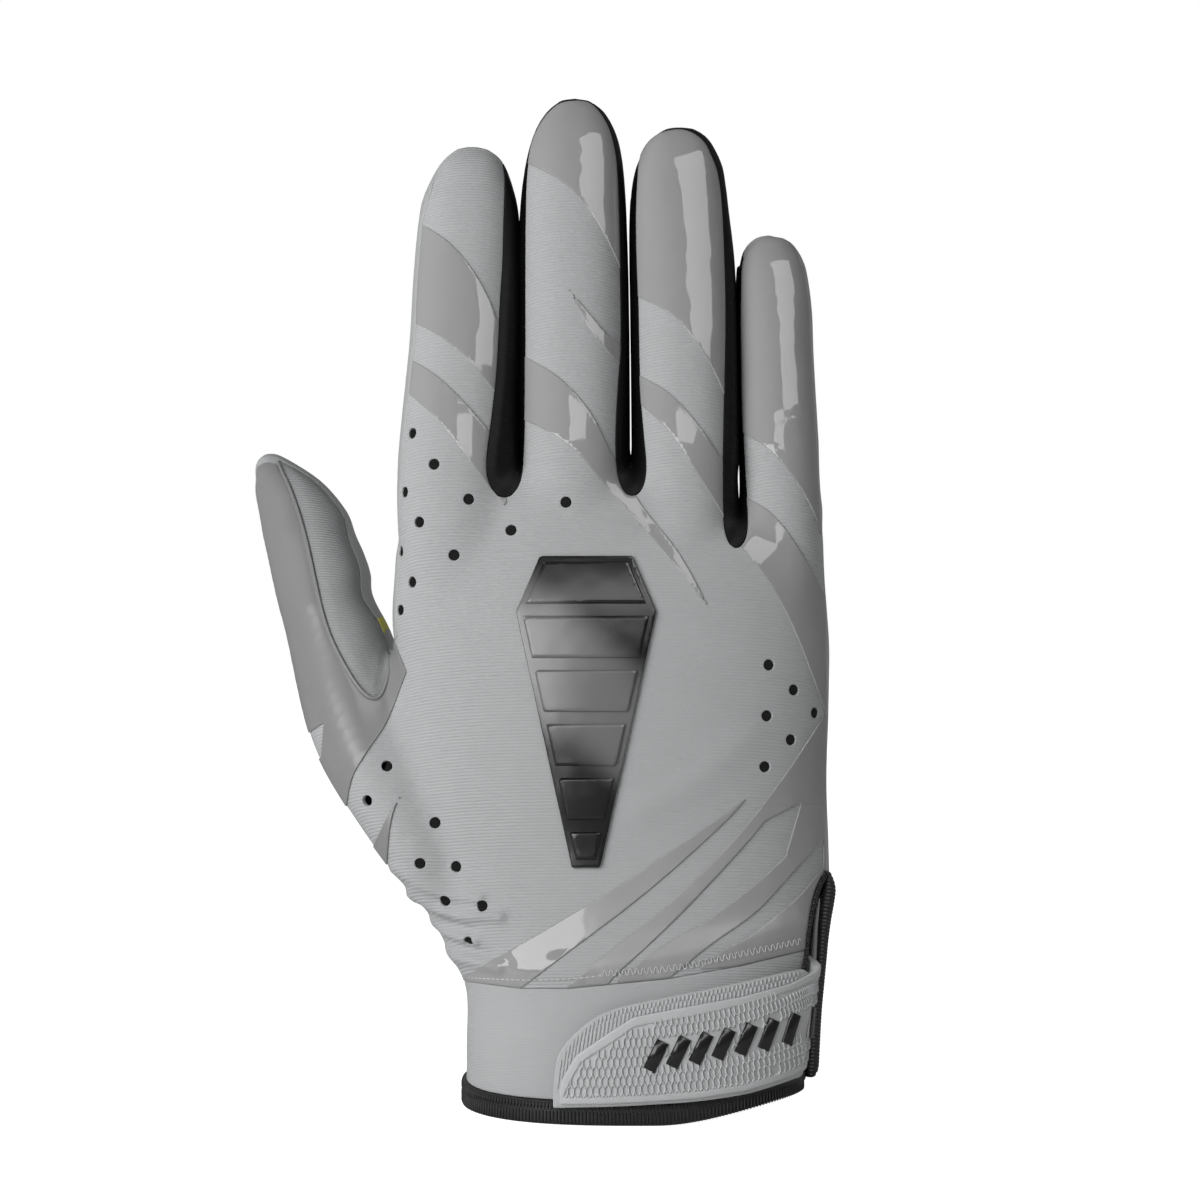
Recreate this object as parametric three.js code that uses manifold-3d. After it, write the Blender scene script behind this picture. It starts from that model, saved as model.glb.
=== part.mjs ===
// Football receiver's glove for the right hand, filled out as it is when worn.
// It stands on its hem: fingers along +Z, back of the hand towards -Y, thumb towards -X.
import * as THREE from "three";
import { mergeVertices } from "three/addons/utils/BufferGeometryUtils.js";
import Module from "manifold-3d";

const wasm = await Module();
wasm.setup();

// Driving sizes in millimetres
const gloveHeight = 223; // hem to the tip of the middle finger
const palmBreadth = 96.5; // across the knuckles
const handDepth = 32; // back to palm at the knuckles
const fingerDepth = 24; // back to front at a finger's root
const fingerCurl = 6.8; // how far the fingertips lean towards the palm
const wall = 1.1; // thickness of the sewn panels
const seamGap = 0.3; // room between two pieces that are sewn or bonded together
const filmThickness = 0.5; // the smooth film bonded on the knit
const meshThickness = 0.5; // the vent mesh under the perforations
const ventBore = 2.4; // one perforation
const cuffHeightThumbSide = 25.6; // top seam of the cuff at the thumb
const cuffHeightUlnarSide = 35; // top seam of the cuff at the little finger
const hemHeight = 5; // the binding round the mouth
const bindingProud = 0.8; // how far a binding stands out of the cuff
const fourchetteWrap = 1.5; // how far the strips between the fingers reach round to the palm side
const palmBindingWidth = 4.2; // the ribbed binding on the palm edge of the slit
const elasticWidth = 9; // the gathering elastic in the wrist
const elasticThickness = 0.9;
const patchThickness = 0.8; // hook and loop patches
const strapThickness = 1.1; // woven body of the strap
const mouldingThickness = 0.8; // moulded face of the strap
const padBase = 0.5; // web that carries the bars of the back pad
const padHeight = 1.4; // bars of the back pad
const viewDistance = 480; // from the middle of the glove to the point that its back is drawn from

// The outlines below are drawn on a square picture of the back of the glove
const pictureMiddlePx = 600;
const hemRowPx = 1097;
const heightPx = 1004;
const breadthPx = 434;
const mmAcross = palmBreadth / breadthPx;
const mmUp = gloveHeight / heightPx;
const eyeHeight = (hemRowPx - pictureMiddlePx) * mmUp;
const gapPx = seamGap / mmAcross;

// How the sections are drawn
const trunkSides = 24;
const trunkInnerSides = 16;
const digitSides = 14;
const digitInnerSides = 10;
const ventSides = 6;
const bindingSides = 12;
const trunkPowerShare = 2.5;
const digitPowerShare = 2.35;
const overrun = 30; // how far every cutter runs past what it cuts

// Each row of a table is one level section: picture row, left, right, then the back and palm
// faces as shares of handDepth
const trunkShares = [
  [1125, 467, 809, -0.84, 0.72],
  [1045, 467, 819, -0.83, 0.72],
  [985, 466, 822, -0.78, 0.7],
  [955, 453, 825, -0.73, 0.69],
  [925, 440, 828, -0.68, 0.67],
  [890, 427, 829, -0.63, 0.65],
  [845, 415, 828, -0.58, 0.62],
  [780, 405, 826, -0.56, 0.59],
  [710, 399, 828, -0.54, 0.55],
  [650, 394, 829, -0.52, 0.52],
  [610, 393, 828, -0.49, 0.48],
  [575, 395, 826, -0.45, 0.45],
  [550, 397, 824, -0.41, 0.41],
  [533, 402, 819, -0.33, 0.34],
  [525, 411, 811, -0.22, 0.23],
];
const thumbShares = [
  [918, 446, 482, -0.22, 0.3],
  [898, 419, 480, -0.38, 0.54],
  [850, 379, 468, -0.44, 0.67],
  [770, 326, 444, -0.33, 0.7],
  [730, 309, 426, -0.25, 0.72],
  [690, 299, 407, -0.17, 0.74],
  [620, 284, 384, -0.02, 0.8],
  [580, 274, 370, 0.07, 0.83],
  [535, 264, 355, 0.18, 0.87],
  [490, 255, 332, 0.33, 0.92],
  [475, 255, 317, 0.4, 0.92],
  [463, 259, 303, 0.48, 0.89],
  [456, 267, 293, 0.57, 0.81],
];
const thumbTipShares = [453, 280, 0.69];
const webShares = [
  [610, 450, 700, -0.46, 0.46],
  [530, 450, 700, -0.39, 0.39],
  [500, 452, 696, -0.34, 0.35],
  [484, 456, 692, -0.26, 0.27],
  [476, 462, 686, -0.16, 0.17],
];

// Finger sections: picture row, left, right, then the middle as a share of fingerCurl and the
// thickness as a share of fingerDepth. The last row is the tip.
const fingerShares = {
  index: [
    [640, 408, 512, 0, 0.95],
    [520, 398, 517, 0, 1.02],
    [460, 398.5, 517, 0.03, 0.98],
    [340, 410, 518.5, 0.2, 0.88],
    [280, 413.5, 519, 0.35, 0.83],
    [225, 418.5, 518.5, 0.56, 0.78],
    [200, 423, 516, 0.66, 0.73],
    [168, 438.5, 506, 0.82, 0.57],
    [158, 447, 499, 0.88, 0.44],
    [151, 457, 488, 0.93, 0.29],
    [148, 472, 472, 0.94, 0],
  ],
  middle: [
    [640, 520, 630, 0, 0.95],
    [480, 521.5, 629, 0, 1],
    [320, 521.5, 628, 0.22, 0.9],
    [250, 521.5, 626.5, 0.41, 0.84],
    [190, 523.5, 624.5, 0.62, 0.78],
    [160, 527, 622, 0.74, 0.73],
    [140, 532, 618, 0.82, 0.66],
    [124, 539, 611.5, 0.9, 0.56],
    [111, 548.5, 602.5, 0.96, 0.43],
    [103, 560, 590, 1, 0.29],
    [99.5, 576, 576, 1, 0],
  ],
  ring: [
    [640, 634, 738, 0, 0.95],
    [480, 633, 737, 0.01, 0.97],
    [320, 631.5, 734, 0.24, 0.87],
    [260, 630.5, 732, 0.4, 0.82],
    [215, 630.5, 728, 0.53, 0.77],
    [188, 632, 725.5, 0.63, 0.72],
    [168, 636, 722.5, 0.72, 0.66],
    [152, 643, 716, 0.78, 0.57],
    [139, 652, 707.5, 0.84, 0.44],
    [131.5, 663.5, 696, 0.88, 0.29],
    [128, 680, 680, 0.88, 0],
  ],
  little: [
    [660, 752, 816, 0, 0.8],
    [540, 742, 824, 0.03, 0.89],
    [480, 741, 820.5, 0.09, 0.85],
    [360, 739.5, 813.5, 0.29, 0.75],
    [310, 738.5, 811.5, 0.43, 0.7],
    [285, 738.5, 808.5, 0.5, 0.66],
    [267, 739.5, 805, 0.56, 0.59],
    [252, 743, 798, 0.62, 0.48],
    [243, 749.5, 790, 0.66, 0.37],
    [238.5, 757, 779, 0.69, 0.25],
    [236, 767, 767, 0.69, 0],
  ],
};

// Where the back meets the palm: picture row, then the depth as a share of handDepth
const handSplitShares = [
  [1200, -0.09],
  [700, -0.06],
  [560, -0.06],
  [400, -0.03],
  [250, 0.03],
  [60, 0.12],
];
const thumbSplitShares = [
  [1200, -0.06],
  [900, 0],
  [800, 0.06],
  [700, 0.16],
  [640, 0.23],
  [560, 0.35],
  [480, 0.5],
  [440, 0.58],
];
const splitBesideThumbPx = [374, 392];
const splitRowsPx = [1240, 1000, 900, 800, 700, 640, 600, 560, 480, 440, 400, 330, 250, 60, -60];

// Seams drawn on the picture
const fourchettePx = {
  index_middle: [
    [503, 163], [505, 180], [504, 220], [503, 260], [500, 300], [498, 340], [495, 380], [491, 420],
    [487, 460], [485, 483], [491, 496], [503, 500], [516, 496], [525, 483], [526, 440], [524, 360],
    [525, 270], [527, 210], [530, 170], [537, 145], [543, 128], [520, 124], [514, 150],
  ],
  middle_ring: [
    [607, 122], [612, 140], [617, 165], [619, 200], [620, 260], [621, 340], [618, 380], [616, 430],
    [616, 465], [620, 486], [632, 500], [641, 489], [645, 465], [642, 440], [639, 390], [638, 300],
    [636, 230], [637, 185], [642, 160], [649, 145], [636, 122],
  ],
  ring_little: [
    [716, 148], [721, 168], [723, 200], [725, 250], [726, 310], [725, 360], [724, 420], [723, 480],
    [724, 520], [729, 541], [738, 549], [744, 540], [746, 520], [744, 470], [742, 400], [741, 320],
    [742, 280], [746, 262], [752, 248], [742, 236], [736, 150],
  ],
};
const thumbInnerPx = [
  [278, 466], [291, 487], [302, 516], [312, 569], [325, 619], [343, 657], [363, 691], [375, 700],
  [387, 675], [390, 647], [378, 619], [369, 604], [362, 590], [357, 560], [350, 540], [344, 513],
  [316, 478], [285, 454],
];
const innerReachShare = 0.62; // how deep the inner panel's cut goes, of handDepth
const thumbPalmSidePx = [
  [285, 453], [316, 477], [344, 512], [350, 539], [357, 559], [362, 589], [369, 603], [378, 618],
  [390, 646], [397, 636], [386, 600], [378, 550], [366, 500], [330, 446], [296, 436],
];
const thumbFieldPx = [
  [190, 400], [345, 400], [374, 560], [394, 628], [404, 660], [420, 720], [440, 800], [454, 880],
  [452, 940], [190, 940],
];
const cuffSidesPx = [467, 812];
const slitPx = [
  [829, 872], [815, 890], [807, 914], [805, 962], [803, 1130], [880, 1130], [880, 872],
];
const slitBindingPx = [
  [829, 872], [815, 890], [807, 914], [805, 962], [803, 1070], [794, 1070], [796, 962], [799, 911],
  [808, 885], [822, 867],
];
const rearBindingPx = [
  [1073, 805, 813], [1068, 802, 816.5], [1020, 807, 820.5], [967, 811, 826], [920, 815, 830],
  [900, 817, 834], [886, 820, 833],
];

// Film outlines drawn on the picture
const filmsPx = {
  index_upper_band: [
    [400, 218], [423, 225], [450, 243], [474, 272], [490, 302], [500, 328], [510, 352], [510, 408],
    [494, 391], [470, 362], [445, 340], [418, 324], [396, 318],
  ],
  index_lower_band: [
    [392, 353], [414, 361], [440, 378], [465, 403], [488, 430], [506, 452], [506, 508], [485, 482],
    [460, 448], [436, 418], [410, 394], [388, 388],
  ],
  middle_cap: [
    [512, 155], [532, 165], [560, 180], [585, 205], [605, 236], [619, 266], [629, 290], [629, 70],
    [512, 70],
  ],
  middle_blade: [
    [566, 285], [592, 317], [610, 337], [629, 350], [629, 372], [611, 356], [588, 326],
  ],
  middle_band: [
    [510, 348], [525, 356], [560, 378], [590, 412], [612, 455], [640, 503], [680, 555], [711, 612],
    [680, 572], [640, 525], [600, 480], [580, 455], [555, 435], [523, 419], [510, 414],
  ],
  ring_cap: [
    [627, 290], [640, 297], [668, 312], [693, 338], [711, 366], [723, 392], [737, 424], [737, 100],
    [627, 100],
  ],
  ring_band: [
    [628, 370], [641, 376], [668, 392], [696, 422], [722, 461], [735, 486], [735, 540], [722, 514],
    [700, 478], [672, 435], [643, 406], [628, 398],
  ],
  little_cap: [
    [737, 427], [743, 432], [770, 450], [795, 480], [812, 510], [822, 538], [836, 570], [836, 205],
    [737, 205],
  ],
  ulnar_side: [
    [741, 494], [770, 512], [795, 543], [812, 572], [826, 600], [850, 650], [850, 868], [829, 868],
    [812, 884], [801, 912], [798, 955], [743, 966], [698, 970], [722, 951], [747, 938], [768, 922],
    [799, 896], [823, 867], [823, 839], [804, 860], [781, 886], [753, 915], [707, 948], [666, 981],
    [620, 986], [616, 980], [669, 942], [707, 921], [753, 886], [785, 857], [801, 802], [765, 821],
    [738, 853], [686, 909], [646, 948], [612, 979], [606, 990], [562, 992], [606, 954], [669, 904],
    [733, 841], [771, 794], [800, 752], [825, 713], [801, 647], [778, 598], [755, 563], [741, 547],
  ],
  wrist_blade: [
    [748, 796], [719, 818], [661, 857], [606, 894], [529, 940], [464, 977], [466, 984], [519, 990],
    [580, 944], [640, 898], [692, 853], [733, 814],
  ],
  thumb: [
    [392, 632], [407, 672], [387, 722], [366, 754], [353, 777], [347, 806], [300, 800], [300, 762],
    [322, 758], [324, 723], [306, 735], [280, 735], [240, 600], [240, 440], [300, 440], [388, 600],
  ],
  thumb_base_blade: [
    [404, 789], [392, 818], [387, 868], [372, 850], [387, 818],
  ],
};

// Perforations by the finger, by the little finger and by the thumb
const ventsPx = {
  index: [
    [412, 433], [434, 464], [403, 492], [469, 499], [566, 502], [419, 522], [511, 530], [454, 555],
    [412, 582],
  ],
  ulnar: [[769, 665], [794, 690], [767, 716], [815, 713], [791, 740], [765, 767]],
  thumb: [
    [387, 766], [367, 801], [435, 823], [420, 864], [456, 867], [445, 901], [482, 906], [468, 942],
  ],
};
const ventMeshPx = {
  index: [
    [402, 424], [440, 440], [480, 485], [505, 512], [560, 488], [580, 505], [520, 545], [462, 572],
    [420, 596], [402, 596],
  ],
  ulnar: [[755, 652], [775, 650], [808, 684], [822, 713], [800, 750], [755, 780]],
  thumb: [
    [390, 752], [402, 775], [450, 815], [470, 860], [496, 900], [480, 952], [462, 950], [440, 905],
    [412, 868], [372, 812],
  ],
};

// Thumb crotch tab, back pad and strap, drawn on the picture
const crotchTabPx = [[374, 606], [384, 610], [396, 634], [386, 640], [378, 622]];
const padPx = [[540, 556], [632, 556], [656, 612], [600, 868], [572, 868], [516, 612]];
const padBarRowsPx = [[562, 604], [616, 658], [670, 712], [724, 766], [778, 820], [832, 860]];
const padMarginPx = 6;
const loopPatchPx = [
  [578, 1096], [585, 1064], [604, 1042], [640, 1022], [788, 988], [788, 1060], [708, 1080],
];
const hookPatchPx = [
  [574, 1090], [580, 1062], [598, 1040], [640, 1020], [690, 1010], [690, 1078], [630, 1088],
];
const strapPx = [
  [554, 1106], [554, 1088], [558, 1064], [566, 1046], [579, 1031], [606, 1013], [628, 1006],
  [807, 967], [817, 965], [817, 1057], [788, 1072], [708, 1093], [620, 1103],
];
const mouldingPx = [
  [568, 1094], [572, 1078], [588, 1058], [612, 1038], [640, 1026], [814, 981], [814, 1046],
  [786, 1059], [706, 1081], [620, 1091],
];
// Strap anchor seen from above: picture column, then the depth as a share of handDepth
const anchorPx = [[816, -0.5], [812, -0.4], [803, -0.27], [799, -0.14], [800, 0], [796, 0.2]];
const anchorSides = 12;
const anchorFoot = 9.5; // lower edge of the anchor above the hem
const anchorHeight = 20;

// Colours
const colours = {
  knit: 0xa9adaf,
  film: 0x8f9090,
  grip: 0xb4b6b8,
  black: 0x1b1b1c,
  mesh: 0x242526,
  yellow: 0xd9d84a,
  rubber: 0xb3b6b8,
};
const finishes = {
  knit: { color: colours.knit, roughness: 0.85, metalness: 0 },
  film: { color: colours.film, roughness: 0.3, metalness: 0 },
  grip: { color: colours.grip, roughness: 0.5, metalness: 0 },
  elastic: { color: colours.black, roughness: 0.75, metalness: 0 },
  mesh: { color: colours.mesh, roughness: 0.8, metalness: 0 },
  yellow: { color: colours.yellow, roughness: 0.6, metalness: 0 },
  rubber: { color: colours.rubber, roughness: 0.5, metalness: 0 },
  gloss: { color: colours.black, roughness: 0.2, metalness: 0 },
};

// A closed geometry as a solid that can be joined and cut
function solidOf(geometry) {
  const bare = new THREE.BufferGeometry();
  bare.setAttribute("position", geometry.getAttribute("position"));
  if (geometry.index) bare.setIndex(geometry.index);
  const merged = mergeVertices(bare);
  const vertProperties = merged.getAttribute("position").array;
  const triVerts = new Uint32Array(merged.index.array);
  return new wasm.Manifold(new wasm.Mesh({ numProp: 3, vertProperties, triVerts }));
}

function geometryOf(solid) {
  const mesh = solid.getMesh();
  const geometry = new THREE.BufferGeometry();
  geometry.setAttribute("position", new THREE.BufferAttribute(mesh.vertProperties, 3));
  geometry.setIndex(new THREE.BufferAttribute(mesh.triVerts, 1));
  geometry.computeVertexNormals();
  return geometry;
}

function union(solids) {
  return solids.reduce((all, one) => all.add(one));
}

// The biggest body of a cut, without the crumbs beside it
function mainBody(solid) {
  return solid.decompose().reduce((a, b) => (b.volume() > a.volume() ? b : a));
}

// Where a picture point lies at a given depth
function acrossAt(px, depth) {
  return (px - pictureMiddlePx) * mmAcross * (1 + depth / viewDistance);
}

function upAt(row, depth) {
  return eyeHeight + (pictureMiddlePx - row) * mmUp * (1 + depth / viewDistance);
}

// One level section of a body, from its picture row and its back and palm depths
function section(row, left, right, back, front) {
  const depth = (back + front) / 2;
  return {
    x: (acrossAt(left, depth) + acrossAt(right, depth)) / 2,
    y: depth,
    z: upAt(row, depth),
    halfWidth: (acrossAt(right, depth) - acrossAt(left, depth)) / 2,
    halfDepth: (front - back) / 2,
  };
}

// Moves every section outwards by an offset, square to the slope of the body there, and the
// closed foot of the body downwards
function offsetSections(sections, offset) {
  return sections.map((s, i) => {
    const below = sections[Math.max(i - 1, 0)];
    const above = sections[Math.min(i + 1, sections.length - 1)];
    const rise = above.z - below.z;
    const spread = above.halfWidth + above.halfDepth - below.halfWidth - below.halfDepth;
    const slope = Math.hypot(rise, spread / 2);
    const outwards = i === 0 ? 1 : rise / slope;
    const upwards = i === 0 ? -1 : -spread / 2 / slope;
    return {
      ...s,
      z: s.z + offset * upwards,
      halfWidth: s.halfWidth + offset * outwards,
      halfDepth: s.halfDepth + offset * outwards,
    };
  });
}

// A closed body through level sections, rounded like a superellipse
function loft(sections, sides, power, tip) {
  const points = [];
  const faces = [];
  sections.forEach((s) => {
    for (let k = 0; k < sides; k++) {
      const turn = (k / sides) * 2 * Math.PI;
      const c = Math.cos(turn);
      const d = Math.sin(turn);
      const x = Math.sign(c) * Math.abs(c) ** (2 / power) * s.halfWidth;
      const y = Math.sign(d) * Math.abs(d) ** (2 / power) * s.halfDepth;
      points.push(s.x + x, s.y + y, s.z);
    }
  });
  const lowest = sections[0];
  const highest = sections[sections.length - 1];
  const end = tip ?? highest;
  const foot = sections.length * sides;
  points.push(lowest.x, lowest.y, lowest.z, end.x, end.y, end.z);
  for (let k = 0; k < sides; k++) {
    const next = (k + 1) % sides;
    faces.push(foot, next, k);
    for (let i = 0; i + 1 < sections.length; i++) {
      const a = i * sides + k;
      const b = i * sides + next;
      faces.push(a, b, b + sides, a, b + sides, a + sides);
    }
    const top = (sections.length - 1) * sides;
    faces.push(top + k, top + next, foot + 1);
  }
  const geometry = new THREE.BufferGeometry();
  geometry.setAttribute("position", new THREE.Float32BufferAttribute(points, 3));
  geometry.setIndex(faces);
  return solidOf(geometry);
}

const bodySection = ([row, left, right, back, front]) =>
  section(row, left, right, back * handDepth, front * handDepth);

// Wrist and palm. An inside form has fewer sides, and its mouth runs on downwards
function trunkAt(offset, inside = false) {
  const sections = offsetSections(trunkShares.map(bodySection), offset);
  if (inside) sections[0].z = -overrun;
  return loft(sections, inside ? trunkInnerSides : trunkSides, trunkPowerShare);
}

function fingerAt(name, offset, sides) {
  const rows = fingerShares[name].map(([row, left, right, curl, depth]) => {
    const middle = curl * fingerCurl;
    const half = (depth * fingerDepth) / 2;
    return section(row, left, right, middle - half, middle + half);
  });
  const tip = rows.pop();
  tip.z += offset;
  return loft(offsetSections(rows, offset), sides, digitPowerShare, tip);
}

function thumbAt(offset, sides) {
  const [row, px, depth] = thumbTipShares;
  const tip = section(row, px, px, depth * handDepth, depth * handDepth);
  tip.z += offset;
  const sections = offsetSections(thumbShares.map(bodySection), offset);
  return loft(sections, sides, digitPowerShare, tip);
}

// The whole hand, grown or shrunk by an offset
const formCache = new Map();
function formAt(offset, inside = false) {
  const key = offset + (inside ? " inside" : "");
  if (!formCache.has(key)) {
    const sides = inside ? digitInnerSides : digitSides;
    const fingers = Object.keys(fingerShares).map((name) => fingerAt(name, offset, sides));
    const web = loft(offsetSections(webShares.map(bodySection), offset), sides, trunkPowerShare);
    formCache.set(key, union([trunkAt(offset, inside), thumbAt(offset, sides), web, ...fingers]));
  }
  return formCache.get(key);
}

const layer = (low, high) => formAt(high).subtract(formAt(low));
const lining = (low, high) => formAt(high, true).subtract(formAt(low, true));
const trunkLayer = (low, high) => trunkAt(high).subtract(trunkAt(low));

// A closed outline pushed out evenly by a distance, corner by corner
function grown(outline, distance) {
  const clockwise = THREE.ShapeUtils.area(outline.map(([x, y]) => new THREE.Vector2(x, y))) < 0;
  const side = clockwise ? -distance : distance;
  return outline.map((point, i) => {
    const before = outline[(i + outline.length - 1) % outline.length];
    const after = outline[(i + 1) % outline.length];
    const a = new THREE.Vector2(point[0] - before[0], point[1] - before[1]).normalize();
    const b = new THREE.Vector2(after[0] - point[0], after[1] - point[1]).normalize();
    const normal = new THREE.Vector2(a.y + b.y, -a.x - b.x).normalize();
    const reach = side / Math.max(Math.abs(normal.x * a.y - normal.y * a.x), 0.5);
    return [point[0] + normal.x * reach, point[1] + normal.y * reach];
  });
}

// A picture outline cut straight back along the lines of sight, between two depths
function sightPrism(outline, near = -3 * overrun, far = 3 * overrun) {
  const shape = new THREE.Shape(outline.map(([x, y]) => new THREE.Vector2(x, -y)));
  const geometry = new THREE.ExtrudeGeometry(shape, { depth: 1, bevelEnabled: false });
  const position = geometry.getAttribute("position");
  for (let i = 0; i < position.count; i++) {
    const depth = position.getZ(i) > 0.5 ? near : far;
    const x = acrossAt(position.getX(i), depth);
    position.setXYZ(i, x, depth, upAt(-position.getY(i), depth));
  }
  return solidOf(geometry);
}

// A shape drawn in X and Z, run right through along Y
function levelPrism(points, near = -3 * overrun, far = 3 * overrun) {
  const shape = new THREE.Shape(points.map(([x, z]) => new THREE.Vector2(x, z)));
  const geometry = new THREE.ExtrudeGeometry(shape, { depth: far - near, bevelEnabled: false });
  geometry.rotateX(Math.PI / 2);
  geometry.translate(0, far, 0);
  return solidOf(geometry);
}

// Height against row, for the split between back and palm
function readShares(table, row) {
  const i = table.findIndex(([r]) => r <= row);
  if (i <= 0) return table[i < 0 ? table.length - 1 : 0][1];
  const [r0, v0] = table[i - 1];
  const [r1, v1] = table[i];
  return v0 + ((v1 - v0) * (r0 - row)) / (r0 - r1);
}

// Everything on the back side of the split, or on the palm side, kept half a seam away from it
function sideOfSplit(side) {
  const besideThumb = splitBesideThumbPx.map((px) => acrossAt(px, 0));
  const across = [-2 * palmBreadth, ...besideThumb, 2 * palmBreadth];
  const end = side * 4 * overrun;
  const points = [];
  splitRowsPx.forEach((row) => {
    across.forEach((x, k) => {
      const table = k < 2 ? thumbSplitShares : handSplitShares;
      const y = readShares(table, row) * handDepth + (side * seamGap) / 2;
      points.push([x, y, upAt(row, 0)]);
    });
  });
  const wide = across.length;
  const count = points.length;
  points.push(...points.map(([x, , z]) => [x, end, z]));
  const faces = [];
  const quad = (a, b, c, d) => faces.push(a, b, c, a, c, d);
  for (let i = 0; i + 1 < splitRowsPx.length; i++) {
    for (let k = 0; k + 1 < wide; k++) {
      const a = i * wide + k;
      quad(a, a + wide, a + wide + 1, a + 1);
      quad(count + a, count + a + 1, count + a + wide + 1, count + a + wide);
    }
    const left = i * wide;
    const right = left + wide - 1;
    quad(left, count + left, count + left + wide, left + wide);
    quad(right, right + wide, count + right + wide, count + right);
  }
  for (let k = 0; k + 1 < wide; k++) {
    const low = (splitRowsPx.length - 1) * wide + k;
    quad(k, k + 1, count + k + 1, count + k);
    quad(low, count + low, count + low + 1, low + 1);
  }
  if (side > 0) faces.reverse();
  const geometry = new THREE.BufferGeometry();
  geometry.setAttribute("position", new THREE.Float32BufferAttribute(points.flat(), 3));
  geometry.setIndex(faces);
  return solidOf(geometry);
}

const group = new THREE.Group();
function addPiece(name, solid, finish) {
  const material = new THREE.MeshStandardMaterial(finishes[finish]);
  const mesh = new THREE.Mesh(geometryOf(mainBody(solid)), material);
  mesh.name = name;
  group.add(mesh);
}

// The room of the cuff and of the hand above its slanting top seam
function belowSeam(lift) {
  const reach = 2 * palmBreadth;
  const [thumbSide, ulnarSide] = cuffSidesPx.map((px) => acrossAt(px, 0));
  const slope = (cuffHeightUlnarSide - cuffHeightThumbSide) / (ulnarSide - thumbSide);
  const seamAt = (x) => cuffHeightThumbSide + lift + (x - thumbSide) * slope;
  return levelPrism([
    [-reach, -overrun],
    [reach, -overrun],
    [reach, seamAt(reach)],
    [-reach, seamAt(-reach)],
  ]);
}

function slab(low, high) {
  const reach = 2 * palmBreadth;
  return levelPrism([
    [-reach, low],
    [reach, low],
    [reach, high],
    [-reach, high],
  ]);
}

const backSide = sideOfSplit(-1);
const palmSide = sideOfSplit(1);
const shell = formAt(0).subtract(formAt(-wall, true));
const handShell = shell.subtract(belowSeam(seamGap));
const slitFloor = handSplitShares[0][1] * handDepth + wall / 2;
const slit = sightPrism(grown(slitPx, gapPx), -3 * overrun, slitFloor);
const slitEdge = sightPrism(grown(slitBindingPx, gapPx), -3 * overrun, 0);

// Strips between the fingers, which reach further round on the palm side
function stripField(outline, distance) {
  const palmward = grown(outline, distance + fourchetteWrap / mmAcross);
  return sightPrism(grown(outline, distance)).add(sightPrism(palmward, 0, 3 * overrun));
}
for (const [pair, outline] of Object.entries(fourchettePx)) {
  addPiece("fourchette_" + pair, handShell.intersect(stripField(outline, 0)), "elastic");
}
const allFourchettes = union(Object.values(fourchettePx).map((o) => stripField(o, gapPx)));

// Thumb: knit inner panel, then the palm side that wraps round to its seam
const innerCut = sightPrism(grown(thumbInnerPx, gapPx), -3 * overrun, handDepth * innerReachShare);
const palmWrap = sightPrism(thumbPalmSidePx);
const palmWrapCut = sightPrism(grown(thumbPalmSidePx, gapPx));
const thumbField = sightPrism(thumbFieldPx);
const innerField = backSide.intersect(sightPrism(thumbInnerPx)).subtract(palmWrapCut);
addPiece("thumb_inner_panel", handShell.intersect(innerField), "knit");
const thumbPalm = handShell.intersect(thumbField).intersect(palmSide.add(palmWrap));
addPiece("thumb_palm_panel", thumbPalm, "grip");

// Palm of the hand
const palm = handShell
  .intersect(palmSide)
  .subtract(sightPrism(grown(thumbFieldPx, gapPx)))
  .subtract(allFourchettes);
addPiece("palm_panel", palm, "grip");

// Back of the hand, with its perforations
function vents(name) {
  return union(
    ventsPx[name].map(([x, row]) => {
      const radius = ventBore / mmAcross / 2;
      const round = new THREE.Path().absarc(x, row, radius, 0, 2 * Math.PI);
      const ring = round.getSpacedPoints(ventSides).slice(0, -1);
      return sightPrism(ring.map((p) => [p.x, p.y]), -3 * overrun, 0);
    }),
  );
}
const backField = backSide
  .subtract(allFourchettes)
  .subtract(innerCut)
  .subtract(palmWrapCut)
  .subtract(slit)
  .subtract(slitEdge)
  .subtract(belowSeam(seamGap));
const back = shell.intersect(backField);
addPiece("back_panel", back.subtract(union(Object.keys(ventsPx).map(vents))), "knit");

// Smooth film shapes bonded on the knit
const filmLow = seamGap;
const filmHigh = filmLow + filmThickness;
const filmLayer = layer(filmLow, filmHigh).intersect(backField);
for (const [name, outline] of Object.entries(filmsPx)) {
  addPiece("film_" + name, filmLayer.intersect(sightPrism(outline)), "film");
}

// Black mesh under the perforations
const meshHigh = -wall - seamGap;
const meshLayer = lining(meshHigh - meshThickness, meshHigh).intersect(backSide);
for (const [name, outline] of Object.entries(ventMeshPx)) {
  addPiece("vent_mesh_" + name, meshLayer.intersect(sightPrism(outline)), "mesh");
}

// Small tab in the crotch of the thumb
const tabField = sightPrism(crotchTabPx, -overrun, handDepth / 2);
addPiece("thumb_crotch_tab", layer(filmLow, filmHigh).intersect(tabField), "yellow");

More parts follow.
